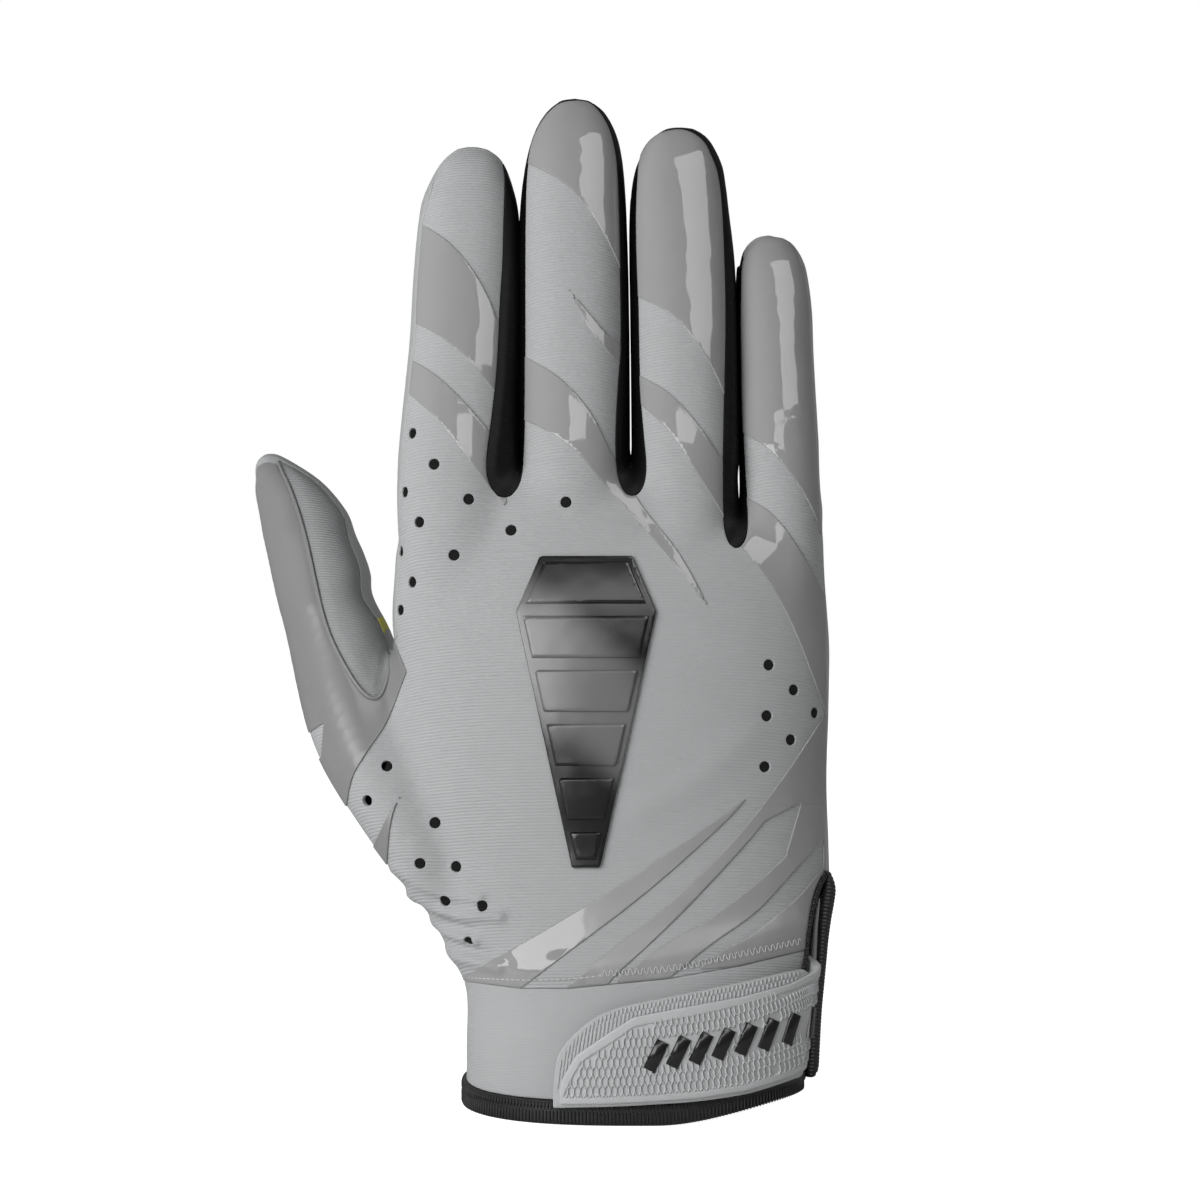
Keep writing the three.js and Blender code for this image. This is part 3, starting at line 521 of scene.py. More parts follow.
def shell(skin, top, bottom):
    p, n, t = skin["p"], skin["n"], skin["t"]
    count = len(p)
    outer = p + n * np.broadcast_to(top, count)[:, None]
    inner = p + n * np.broadcast_to(bottom, count)[:, None]
    ends = np.concatenate([t[:, [0, 1]], t[:, [1, 2]], t[:, [2, 0]]])
    code, mirror = ends[:, 0] * count + ends[:, 1], ends[:, 1] * count + ends[:, 0]
    a, b = ends[~np.isin(code, mirror)].T
    wall = np.concatenate([np.stack([b, a, a + count], 1), np.stack([b, a + count, b + count], 1)])
    return np.concatenate([outer, inner]), np.concatenate([t, t[:, ::-1] + count, wall])


def finished(name, body, slotName, finish, *parts):
    made = objectFrom(name, *joined(parts))
    made.data.materials.append(materials[finish])
    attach(made, body)
    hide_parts(name)
    print(name, len(made.data.polygons))


# Seams and outlines drawn on the picture
fourchettePx = {
    "index_middle": [
        [503, 163], [505, 180], [504, 220], [503, 260], [500.5, 300], [498.5, 340], [496, 380], [491.5, 421],
        [487, 455], [487, 474], [491, 486.5], [498, 495.5], [504.5, 497], [511.5, 494.5], [519, 484], [522.5, 467],
        [524.5, 421], [525, 360], [525, 270], [525.5, 210], [527, 172], [532, 142], [540.5, 123], [550, 110.5],
        [561.5, 102], [577, 99.8], [577, 80], [545, 88], [520, 124], [514, 150],
    ],
    "middle_ring": [
        [577, 99.8], [589, 102], [598, 109.5], [606, 121.5], [612, 137], [616.5, 162], [618.5, 200], [620, 260],
        [621, 340], [618, 390], [616, 430], [616.3, 461], [618, 475], [621.5, 486], [626, 493], [632, 495.7],
        [638, 493.5], [643, 486], [645.5, 475], [645.8, 461], [643.5, 435], [640, 390], [638, 300], [636, 230],
        [637, 185], [640, 158], [646.5, 144.5], [656, 135], [667, 130.3], [680, 128.8], [691, 131.3], [700.5, 137.5],
        [707, 145.5], [712, 156.5], [728, 150], [712, 118], [680, 104], [645, 118], [622, 112], [604, 90], [577, 80],
    ],
    "ring_little": [
        [709.8, 152], [713, 159], [717, 170], [721, 195], [724, 250], [725.5, 310], [725, 360], [724, 420],
        [723, 480], [724, 520], [726, 534], [730, 543.5], [735, 547.5], [740, 547], [745, 540], [747.5, 528],
        [747, 500], [745, 470], [742, 400], [741, 320], [741.5, 280], [742, 262], [743.5, 250], [739, 236],
        [735, 144],
    ],
}
thumbInnerPuff = 0.55
fourchettePuff = {"index_middle": 0.75, "middle_ring": 0.3, "ring_little": 0.6}
thumbInnerPx = [
    [278, 463], [281.4, 471], [289, 486], [297.6, 510], [304, 531.5], [309.5, 555], [316, 585.5], [323.5, 617.5],
    [332, 641.5], [343, 663], [355.8, 684.5], [366.6, 696.5], [375.3, 699.5], [381.7, 694.3], [386, 684.5],
    [388.5, 674], [390, 656], [390, 647], [384, 635], [378.5, 622], [373, 613.5], [364.5, 600.5], [361, 590],
    [361, 579], [359.5, 568], [355.5, 555], [349.4, 540], [346, 525], [344, 515], [340.5, 506.5], [330, 492.6],
    [317, 478.6], [306, 468], [295, 459.5], [286, 455],
]
thumbPalmSidePx = [*[[px, row - 0.5] for px, row in reversed(thumbInnerPx[17:])], [397, 636], [386, 600], [378, 550],
                   [366, 500], [330, 446], [296, 436]]
thumbFieldPx = [
    [190, 400], [345, 400], [374, 560], [394, 628], [404, 660], [420, 720], [440, 800], [454, 880], [452, 940],
    [190, 940],
]
slitPx = [
    [829, 874], [822, 885], [817.5, 898], [813.5, 913], [810.5, 930], [808.5, 947], [807.5, 962], [802, 984],
    [800, 1000], [799, 1075], [800, 1090], [800, 1130], [880, 1130], [880, 874],
]
slitBindingPx = [
    [829, 874], [822, 885], [817.5, 898], [813.5, 913], [810.5, 930], [808.5, 947], [807.5, 962], [802, 984],
    [800, 1000], [799, 1070], [795.5, 1070], [796.5, 1000], [800, 980], [805, 957], [807, 936], [810, 914.5],
    [814.5, 893], [821, 878], [828, 869.5],
]
rearBindingRows = [
    [1075, 806, 813], [1070, 803, 816], [1051, 804, 817.7], [1028, 806, 819], [1006, 808, 820.5], [984, 811, 822.7],
    [961, 814, 825], [939, 815.5, 827], [917, 816.5, 829.8], [904, 817.5, 832], [889, 820, 833.8], [880, 823, 832.2],
    [873, 826.5, 829.5],
]
filmsPx = {
    "index_upper_band": [
        [400, 218], [423, 225], [450, 243], [474, 272], [490, 302], [500, 328], [510, 352], [510, 408], [494, 391],
        [470, 362], [445, 340], [418, 324], [396, 318],
    ],
    "index_lower_band": [
        [392, 353], [414, 361], [440, 378], [465, 403], [488, 430], [506, 452], [506, 508], [485, 482], [460, 448],
        [436, 418], [410, 394], [388, 388],
    ],
    "middle_cap": [
        [512, 155], [532, 165], [560, 180], [585, 205], [605, 236], [619, 266], [629, 290], [629, 70], [512, 70],
    ],
    "middle_blade": [[566, 285], [592, 317], [610, 337], [629, 350], [629, 372], [611, 356], [588, 326]],
    "middle_band": [
        [510, 348], [525, 356], [560, 378], [590, 412], [612, 455], [640, 503], [680, 555], [711, 612], [680, 572],
        [640, 525], [600, 480], [580, 455], [555, 435], [523, 419], [510, 414],
    ],
    "ring_cap": [
        [627, 290], [640, 297], [668, 312], [693, 338], [711, 366], [723, 392], [737, 424], [737, 100], [627, 100],
    ],
    "ring_band": [
        [628, 370], [641, 376], [668, 392], [696, 422], [722, 461], [735, 486], [735, 540], [722, 514], [700, 478],
        [672, 435], [643, 406], [628, 398],
    ],
    "little_cap": [
        [737, 427], [743, 432], [770, 450], [795, 480], [812, 510], [822, 538], [836, 570], [836, 205], [737, 205],
    ],
    "ulnar_side": [
        [741, 494], [770, 512], [795, 543], [812, 572], [826, 600], [850, 650], [850, 868], [832, 866], [820, 884],
        [812, 912], [807, 953], [743, 966], [698, 970], [722, 951], [747, 938], [768, 922], [799, 896], [823, 867],
        [823, 839], [804, 860], [781, 886], [753, 915], [707, 948], [666, 981], [620, 986], [616, 980], [669, 942],
        [707, 921], [753, 886], [785, 857], [801, 802], [765, 821], [738, 853], [686, 909], [646, 948], [612, 979],
        [606, 990], [562, 992], [606, 954], [669, 904], [733, 841], [771, 794], [800, 752], [825, 713], [801, 647],
        [778, 598], [755, 563], [741, 547],
    ],
    "wrist_blade": [
        [748, 796], [719, 818], [661, 857], [606, 894], [529, 940], [464, 977], [466, 984], [519, 990], [580, 944],
        [640, 898], [692, 853], [733, 814],
    ],
    "thumb": [
        [392, 632], [407, 672], [387, 722], [366, 754], [353, 777], [347, 806], [300, 800], [300, 762], [322, 758],
        [324, 723], [306, 735], [280, 735], [240, 600], [240, 477], [256, 470.5],
        [259.5, 466], [264, 463.8], [269, 463], [275, 464.5], [283, 471], [296, 480], [388, 600],
    ],
    "thumb_base_blade": [[404, 789], [392, 818], [387, 868], [372, 850], [387, 818]],
}
ventsPx = [
    [412, 433], [434, 464], [404.5, 492], [401, 551], [400, 610], [469, 499], [566, 502], [419, 522], [511, 530],
    [454, 555], [412, 582],
    [769, 665], [794, 690], [767, 716], [815, 713], [791, 740], [765, 767],
    [387, 766], [367, 801], [435, 823], [420, 864], [456, 867], [445, 901], [482, 906], [468, 942],
]
ventMeshPx = {
    "index": [
        [393, 424], [440, 440], [480, 485], [505, 512], [560, 488], [580, 505], [520, 545], [462, 572], [420, 596],
        [391, 622],
    ],
    "ulnar": [[755, 652], [775, 650], [808, 684], [822, 713], [800, 750], [755, 780]],
    "thumb": [
        [390, 752], [402, 775], [450, 815], [470, 860], [496, 900], [480, 952], [462, 950], [440, 905], [412, 868],
        [372, 812],
    ],
}
crotchTabPx = [[377.5, 618.6], [382.5, 616.8], [389, 629.3], [385.5, 629.6], [384.3, 634.3]]
padPx = [[540, 556], [632, 556], [656, 612], [600, 868], [572, 868], [516, 612]]
padBarRows = [[562, 604], [616, 658], [670, 712], [724, 766], [778, 820], [832, 860]]
loopPatchPx = [[578, 1096], [585, 1064], [604, 1042], [640, 1022], [788, 988], [788, 1060], [708, 1080]]
hookPatchPx = [[574, 1090], [580, 1062], [598, 1040], [640, 1020], [690, 1010], [690, 1078], [630, 1088]]
strapPx = [
    [554, 1108], [554, 1088], [557, 1064], [560, 1053], [567.7, 1042], [575.4, 1033.8], [583, 1027], [590.8, 1021],
    [598.5, 1016], [606, 1012.5], [621, 1007], [682, 994.5], [743, 982], [789, 971.5], [801, 969.5], [808, 974],
    [818, 970], [845, 955], [845, 1056], [817, 1067], [797, 1076], [770, 1086], [743, 1094], [698.5, 1101],
    [660, 1104], [613.8, 1106.5],
]
mouldingPx = [
    [561, 1105], [560, 1090], [561.5, 1081.5], [568.8, 1068.5], [576.5, 1055.5], [588.5, 1047.5], [601.5, 1038.5],
    [615.4, 1029], [634, 1017.5], [675, 1009.5], [743, 997], [790, 984], [806, 976], [818, 968], [845, 951],
    [845, 1053], [817, 1064], [797, 1073], [770, 1083.5], [743, 1091.5], [698.5, 1098.5], [660, 1101.5], [613.8, 1104],
]
combFieldPx = [
    [563, 1096.5], [570, 1082.3], [575.4, 1071.5], [580.8, 1063], [584.5, 1059.5], [606, 1046], [621.5, 1035.4],
    [631.5, 1028], [637, 1025.8], [652, 1023], [698.5, 1014.6], [743, 1004.5], [790, 990.5], [818, 977.5],
    [930, 930], [930, 1015], [815, 1058.5], [797, 1067], [773.7, 1075.5], [743, 1085.5], [698.5, 1092],
    [660, 1095], [621.5, 1097], [566, 1098.5],
]
stitchPx = [
    [554, 1078], [563, 1067], [569, 1056], [575.4, 1046], [585.4, 1035.4], [593.8, 1027.7], [601.5, 1023.5],
    [612.3, 1018.5], [621.5, 1014.5], [634, 1011.5], [682, 1001.5], [743, 989.5], [800, 976],
]
# Rows against depth shares of handDepth where the back meets the palm, beside and on the thumb
handSplit = [[1200, -0.09], [700, -0.06], [560, -0.06], [400, -0.03], [250, 0.03], [60, 0.12]]
thumbSplit = [
    [1200, -0.06], [900, 0], [800, 0.06], [700, 0.16], [640, 0.23], [560, 0.35], [480, 0.5], [440, 0.58],
]
# The thumb's split turns into the hand's between these two edges, which lie farther right above a row
besideThumb = {"left": 374, "right": 392, "leftShift": 12, "rightShift": 4, "above": (712, 14)}
tipSeat = {"depth": 2.6, "above": (215, 80)}  # the middle and ring fingertips part farther round
# A strip between fingers reaches round behind them, and the fingers curl above a row
stripReach = {"wrap": 1.5, "fade": 3, "curlRow": 400, "curlSpan": 300}
# The side seams show from the front: the palm reaches round to these lines
indexSidePx = [
    [395.5, 636], [397, 600], [399.5, 500], [403.5, 440], [407.5, 406], [414.7, 342], [417.5, 280], [423, 216],
    [436, 174], [446, 150], [446, 100], [380, 100], [380, 500], [386, 580], [391, 636],
]
littleSidePx = [
    [786, 230], [796, 252], [802.5, 267], [806, 285], [809.3, 310], [811.3, 360], [818, 480], [821.5, 540],
    [825.5, 610], [826.5, 700], [825.5, 845], [826, 872], [870, 872], [870, 230],
]
cuffSeamPx = [[465, 982], [520, 989], [569, 989], [670, 979], [743, 966], [804, 951]]
aboveCuffPx = [[-300, -300], [-300, 982], *cuffSeamPx, [1500, 930], [1500, -300]]

seams = {"gap": 0.06, "roll": 0.26, "filmLift": 0.3, "filmRoll": 0.13, "ventRadius": 1.2, "ventRoll": 0.16}
hemTop = 5.0


# A distance along one axis, measured over the skin
def overSkin(distance, skin, axis):
    return distance / np.sqrt(np.maximum(1 - skin["n"][:, axis] ** 2, 0.04))


def splitShare(row, table):
    rows, shares = np.array(table).T
    return np.interp(-row, -rows, shares)


def depthSplit(skin):
    px, row = pixelOf(skin["p"])
    upper = before(row, besideThumb["above"])
    left = besideThumb["left"] + besideThumb["leftShift"] * upper
    right = besideThumb["right"] + besideThumb["rightShift"] * upper
    share = np.clip((px - left) / (right - left), 0, 1)
    seat = splitShare(row, thumbSplit) * (1 - share) + splitShare(row, handSplit) * share
    seat = seat * hand["handDepth"] + shift["y"]
    longest = (px > fingerEdgesPx[0]) & (px < fingerEdgesPx[2])
    seat += tipSeat["depth"] * before(row, tipSeat["above"]) * longest
    return overSkin(seat - skin["p"][:, 1], skin, 1)


def heightField(z):
    return lambda skin: overSkin(skin["p"][:, 2] - z, skin, 2)


def frontField(depth):
    return lambda skin: shift["y"] + depth - skin["p"][:, 1]


def strip(outline):
    flat = outlineField(outline)

    def field(skin):
        _, row = pixelOf(skin["p"])
        curl = hand["fingerCurl"] * np.clip((stripReach["curlRow"] - row) / stripReach["curlSpan"], 0, 1)
        behind = smoothStep((skin["p"][:, 1] - shift["y"] - curl) / stripReach["fade"])
        return flat(skin) + stripReach["wrap"] * behind

    return field


backSide = least(depthSplit, outside(outlineField(indexSidePx, False)), outside(outlineField(littleSidePx, False)))
palmSide = outside(backSide)
aboveCuff = outlineField(aboveCuffPx, False, 60)
belowCuff = outside(aboveCuff)
strips = {name: strip(outline) for name, outline in fourchettePx.items()}
outsideStrips = [outside(field) for field in strips.values()]
thumbInner, palmWrap = outlineField(thumbInnerPx), outlineField(thumbPalmSidePx)
thumbField = outlineField(thumbFieldPx, True, 60)
slitFloor = handSplit[0][1] * hand["handDepth"] + hand["wall"] / 2
slitRoom = least(outlineField(slitPx), frontField(slitFloor))
slitEdge = least(outlineField(slitBindingPx), frontField(slitFloor))

handSkin = hold({"p": handPoints, "n": normalsOf(handPoints, handFaces), "t": handFaces})


def lifted(skin, height):
    return skin | {"p": skin["p"] + skin["n"] * height}


def region(skin, *fields, gap=seams["gap"]):
    for field in fields:
        skin = clip(skin, field, gap / 2)
    return hold(skin, least(*fields)(skin) - gap / 2)


def rollSteps(roll):
    return [roll * s for s in (0.1, 0.35, 1)]


def rolledShell(skin, roll=seams["roll"], top=0.0, bottom=-hand["wall"]):
    skin = edgeRows(skin, 0, rollSteps(roll))
    return shell(skin, top - rolled(skin["a"][:, 0], roll), bottom)


# Materials. The groups give heights and masks; the shaders stay in each material
def addNode(tree, kind, inputs=None, **settings):
    node = tree.nodes.new(kind)
    for key, value in settings.items():
        setattr(node, key, value)
    for key, value in (inputs or {}).items():
        if isinstance(value, bpy.types.NodeSocket):
            tree.links.new(value, node.inputs[key])
        else:
            node.inputs[key].default_value = value
    return node


def mathOf(tree, operation, a, b=0.0):
    return addNode(tree, "ShaderNodeMath", {0: a, 1: b}, operation=operation).outputs[0]


def vectorOf(tree, operation, *inputs):
    return addNode(tree, "ShaderNodeVectorMath", dict(enumerate(inputs)), operation=operation).outputs


def noiseOf(tree, place, scale, detail):
    return addNode(tree, "ShaderNodeTexNoise", {"Vector": place, "Scale": scale, "Detail": detail}).outputs["Fac"]


def rampOf(tree, value, start, end, low=0.0, high=1.0, kind="SMOOTHSTEP"):
    bounds = {"From Min": start, "From Max": end, "To Min": low, "To Max": high}
    return addNode(tree, "ShaderNodeMapRange", {"Value": value} | bounds, interpolation_type=kind).outputs[0]


def newGroup(name, **inputs):
    tree = bpy.data.node_groups.new(name, "ShaderNodeTree")
    for key, kind in inputs.items():
        tree.interface.new_socket(key, in_out="INPUT", socket_type="NodeSocket" + kind)
    for key in ("Height", "Tone"):
        tree.interface.new_socket(key, in_out="OUTPUT", socket_type="NodeSocketFloat")
    return tree, tree.nodes.new("NodeGroupInput").outputs, tree.nodes.new("NodeGroupOutput").inputs


# Ribs of the knit, which give way to pebbles round the middle of the hand's back. Their tone carries painted shade in
# the grooves and painted highlight on the crests
ribbing = {"line": 0.46, "fine": 0.2, "wander": 0.00008, "ribShadeTone": 0.055, "slowTone": 0.05, "slowScale": 180.0,
           "pebbleScale": 2000.0, "fineScale": 5200.0, "reach": (36.0, 0.0, 22.0), "fade": (0.4, 1.5, 0.3, 1.0)}


def ribGroup():
    tree, given, out = newGroup("ribbedCloth", Position="Vector", Direction="Vector", Pitch="Float", Pebble="Float",
                                Middle="Vector")
    place = given["Position"]
    slow = mathOf(tree, "SUBTRACT", noiseOf(tree, place, ribbing["slowScale"], 2.0), 0.5)
    along = vectorOf(tree, "DOT_PRODUCT", place, given["Direction"])["Value"]
    along = mathOf(tree, "ADD", along, mathOf(tree, "MULTIPLY", slow, ribbing["wander"]))
    turns = mathOf(tree, "DIVIDE", along, given["Pitch"])
    wave = mathOf(tree, "SINE", mathOf(tree, "MULTIPLY", turns, 2 * math.pi))
    away = vectorOf(tree, "SUBTRACT", place, given["Middle"])[0]
    away = vectorOf(tree, "LENGTH", vectorOf(tree, "MULTIPLY", away, ribbing["reach"])[0])["Value"]
    ribbed = rampOf(tree, away, *ribbing["fade"])
    pebble = addNode(tree, "ShaderNodeTexVoronoi", {"Vector": place, "Scale": ribbing["pebbleScale"]})
    fine = mathOf(tree, "MULTIPLY", noiseOf(tree, place, ribbing["fineScale"], 1.0), ribbing["fine"])
    bare = mathOf(tree, "SUBTRACT", 2.2, mathOf(tree, "MULTIPLY", ribbed, 1.3))
    grain = mathOf(tree, "MULTIPLY", given["Pebble"], bare)
    rough = mathOf(tree, "ADD", mathOf(tree, "MULTIPLY", pebble.outputs["Distance"], grain), fine)
    line = mathOf(tree, "MULTIPLY", wave, ribbed)
    height = mathOf(tree, "ADD", mathOf(tree, "MULTIPLY", line, ribbing["line"]), rough)
    # painted shade and highlight: the rib tone is lighter on each crest and darker in each groove, following the
    # relief; the slow tone is a random variation
    tone = mathOf(tree, "ADD", mathOf(tree, "MULTIPLY", line, ribbing["ribShadeTone"]),
                  mathOf(tree, "MULTIPLY", slow, ribbing["slowTone"]))
    tree.links.new(height, out["Height"])
    tree.links.new(tone, out["Tone"])
    return tree


def smoothGroup():
    tree, given, out = newGroup("smoothSkin", Position="Vector", Grain="Float", Fine="Float", Wave="Float")
    wide = noiseOf(tree, given["Position"], 60.0, 2.0)
    grain = noiseOf(tree, given["Position"], given["Grain"], 2.0)
    height = mathOf(tree, "ADD", mathOf(tree, "MULTIPLY", wide, given["Wave"]),
                    mathOf(tree, "MULTIPLY", grain, given["Fine"]))
    tone = mathOf(tree, "MULTIPLY", mathOf(tree, "SUBTRACT", wide, 0.5), 0.08)
    tree.links.new(height, out["Height"])
    tree.links.new(tone, out["Tone"])
    return tree


def newMaterial(name, group, settings, colour, roughness, bump, specular=0.5, sheen=0.0):
    material = bpy.data.materials.new(name)
    material.use_nodes = True
    tree = material.node_tree
    shader = tree.nodes["Principled BSDF"]
    place = tree.nodes.new("ShaderNodeTexCoord").outputs["Object"]
    detail = addNode(tree, "ShaderNodeGroup", node_tree=group)
    tree.links.new(place, detail.inputs["Position"])
    for key, value in settings.items():
        detail.inputs[key].default_value = value
    tone = mathOf(tree, "ADD", detail.outputs["Tone"], 1.0)
    paint = addNode(tree, "ShaderNodeVectorMath", {0: colour, "Scale": tone}, operation="SCALE")
    tree.links.new(paint.outputs[0], shader.inputs["Base Color"])
    relief = addNode(tree, "ShaderNodeBump", {"Height": detail.outputs["Height"], "Strength": 1.0, "Distance": bump})
    tree.links.new(relief.outputs[0], shader.inputs["Normal"])
    for key, value in {"Roughness": roughness, "Specular IOR Level": specular, "Sheen Weight": sheen,
                       "Sheen Roughness": 0.5}.items():
        shader.inputs[key].default_value = value
    return material


upright, leaning, lengthwise, arched = (0.0, 0.0, 1.0), (0.55, 0.0, 0.83), (0.95, 0, 0.3), (0.0, 0.28, 0.96)
handMiddle, cuffMiddle, far = (0.022, 0.0, 0.085), (0.008, 0.0, 0.03), (9.0, 9.0, 9.0)
ribs, smooths = ribGroup(), smoothGroup()


def cloth(direction, pitch, pebble, middle=far):
    return {"group": ribs, "settings": {"Direction": direction, "Pitch": pitch, "Pebble": pebble, "Middle": middle}}


def plain(grain, fine, wave=0.0):
    return {"group": smooths, "settings": {"Grain": grain, "Fine": fine, "Wave": wave}}


looks = {
    "knit": cloth(arched, 0.00068, 0.3, handMiddle) | {
        "colour": (0.4, 0.408, 0.413), "roughness": 0.72, "bump": 0.00009, "specular": 0.3, "sheen": 0.06},
    "cuffKnit": cloth(arched, 0.0006, 0.3, cuffMiddle) | {
        "colour": (0.406, 0.414, 0.419), "roughness": 0.72, "bump": 0.00007, "specular": 0.3, "sheen": 0.06},
    # painted shade: the thumb's inner knit is a darker copy of the knit, standing in for the shade on the thumb's side
    # away from the key; its gloss and pebble are its own
    "thumbKnit": cloth(arched, 0.0006, 0.8) | {
        "colour": (0.268, 0.273, 0.276), "roughness": 0.5, "bump": 0.00006, "specular": 0.45},
    "film": plain(900.0, 0.003, 1.7) | {
        "colour": (0.314, 0.314, 0.314), "roughness": 0.05, "bump": 0.0005},
    # painted shade: the thumb's film is a darker copy of the film, darkened to stand in for the shade on the thumb; its
    # satin finish is its own
    "thumbFilm": plain(900.0, 0.006, 0.6) | {
        "colour": (0.228, 0.228, 0.228), "roughness": 0.28, "bump": 0.0004, "specular": 0.4},
    "grip": plain(4200.0, 0.04, 0.5) | {
        "colour": (0.4, 0.407, 0.41), "roughness": 0.42, "bump": 0.0005, "specular": 0.4},
    "stretch": cloth(leaning, 0.0006, 0.2) | {
        "colour": (0.0025, 0.0025, 0.0025), "roughness": 0.5, "bump": 0.00005, "specular": 0.13},
    "mesh": cloth(arched, 0.0005, 0.3, handMiddle) | {
        "colour": (0.006, 0.006, 0.006), "roughness": 0.8, "bump": 0.0001, "specular": 0.2},
    "yellow": plain(2000.0, 0.05) | {
        "colour": (0.62, 0.58, 0.06), "roughness": 0.5, "bump": 0.0005},
    "pad": plain(300.0, 0.003, 0.6) | {
        "colour": (0.006, 0.006, 0.006), "roughness": 0.2, "bump": 0.0005},
    "gloss": plain(900.0, 0.01, 0.6) | {
        "colour": (0.006, 0.006, 0.006), "roughness": 0.18, "bump": 0.0005},
    "binding": cloth(upright, 0.0004, 0.5) | {
        "colour": (0.022, 0.022, 0.022), "roughness": 0.42, "bump": 0.00005, "specular": 0.4},
    "loop": cloth(upright, 0.0008, 1.0) | {
        "colour": (0.02, 0.02, 0.02), "roughness": 0.95, "bump": 0.0002, "specular": 0.1, "sheen": 0.3},
    "hook": cloth(upright, 0.0008, 1.0) | {
        "colour": (0.015, 0.015, 0.015), "roughness": 0.6, "bump": 0.0002, "specular": 0.3},
    "strapCloth": cloth(lengthwise, 0.0004, 0.3) | {
        "colour": (0.45, 0.458, 0.463), "roughness": 0.6, "bump": 0.00004, "specular": 0.3},
    "moulding": plain(2500.0, 0.02) | {
        "colour": (0.49, 0.498, 0.503), "roughness": 0.4, "bump": 0.0005, "specular": 0.45},
    "thread": plain(5000.0, 0.02) | {
        "colour": (0.6, 0.605, 0.61), "roughness": 0.4, "bump": 0.0005, "specular": 0.4},
    "backdrop": plain(40.0, 0.0) | {
        "colour": (0.8, 0.8, 0.8), "roughness": 0.7, "bump": 0.0001, "specular": 0.1},
}
materials = {name: newMaterial(name, **look) for name, look in looks.items()}


def placeIn(tree):
    return next(node for node in tree.nodes if node.type == "TEX_COORD").outputs["Object"]


# The film's polish is dull beside the blade at the wrist
polish = {"right": (0.0105, 0.0115), "below": (0.075, 0.06), "dull": 0.33, "bright": looks["film"]["roughness"]}
filmTree = materials["film"].node_tree
filmAxes = addNode(filmTree, "ShaderNodeSeparateXYZ", {0: placeIn(filmTree)}).outputs
dull = mathOf(filmTree, "MULTIPLY", rampOf(filmTree, filmAxes["X"], *polish["right"]),
              rampOf(filmTree, filmAxes["Z"], *polish["below"]))
filmRough = mathOf(filmTree, "ADD", mathOf(filmTree, "MULTIPLY", dull, polish["dull"]), polish["bright"])
filmTree.links.new(filmRough, filmTree.nodes["Principled BSDF"].inputs["Roughness"])

# Painted reflection: the pad's colour fades from black to a smoky grey and back in broad bands, standing in for a
# softbox's reflection on its bars
paintedReflection = {"way": (62.0, 0.0, 74.0), "start": 0.4, "fade": (0.1, 1.0, 0.004, 0.16)}
padTree = materials["pad"].node_tree
padReach = vectorOf(padTree, "DOT_PRODUCT", placeIn(padTree), paintedReflection["way"])["Value"]
padWave = mathOf(padTree, "SINE", mathOf(padTree, "ADD", padReach, paintedReflection["start"]))
padReflectionShare = rampOf(padTree, padWave, *paintedReflection["fade"], "SMOOTHERSTEP")
padReflectionPaint = addNode(padTree, "ShaderNodeCombineColor", {0: padReflectionShare, 1: padReflectionShare, 2: padReflectionShare})
padTree.links.new(padReflectionPaint.outputs[0], padTree.nodes["Principled BSDF"].inputs["Base Color"])
print("materials made")


# Small parts that repeat are set out by one node tree from carrier points
def scatterTree():
    tree = bpy.data.node_groups.new("setOut", "GeometryNodeTree")
    for key, kind in {"Geometry": "NodeSocketGeometry", "Unit": "NodeSocketObject",
                      "Material": "NodeSocketMaterial"}.items():
        tree.interface.new_socket(key, in_out="INPUT", socket_type=kind)
    tree.interface.new_socket("Geometry", in_out="OUTPUT", socket_type="NodeSocketGeometry")
    given = tree.nodes.new("NodeGroupInput").outputs
    out = tree.nodes.new("NodeGroupOutput").inputs
    unit = addNode(tree, "GeometryNodeObjectInfo", {"Object": given["Unit"], "As Instance": True})
    turn = addNode(tree, "GeometryNodeInputNamedAttribute", {"Name": "turn"}, data_type="FLOAT_VECTOR")
    size = addNode(tree, "GeometryNodeInputNamedAttribute", {"Name": "size"}, data_type="FLOAT_VECTOR")
    euler = addNode(tree, "FunctionNodeEulerToRotation", {"Euler": turn.outputs["Attribute"]})
    spread = addNode(tree, "GeometryNodeInstanceOnPoints", {
        "Points": given["Geometry"], "Instance": unit.outputs["Geometry"], "Rotation": euler.outputs[0],
        "Scale": size.outputs["Attribute"]})
    real = addNode(tree, "GeometryNodeRealizeInstances", {"Geometry": spread.outputs[0]})
    painted = addNode(tree, "GeometryNodeSetMaterial", {"Geometry": real.outputs[0], "Material": given["Material"]})
    tree.links.new(painted.outputs[0], out["Geometry"])
    return tree


setOutTree = scatterTree()


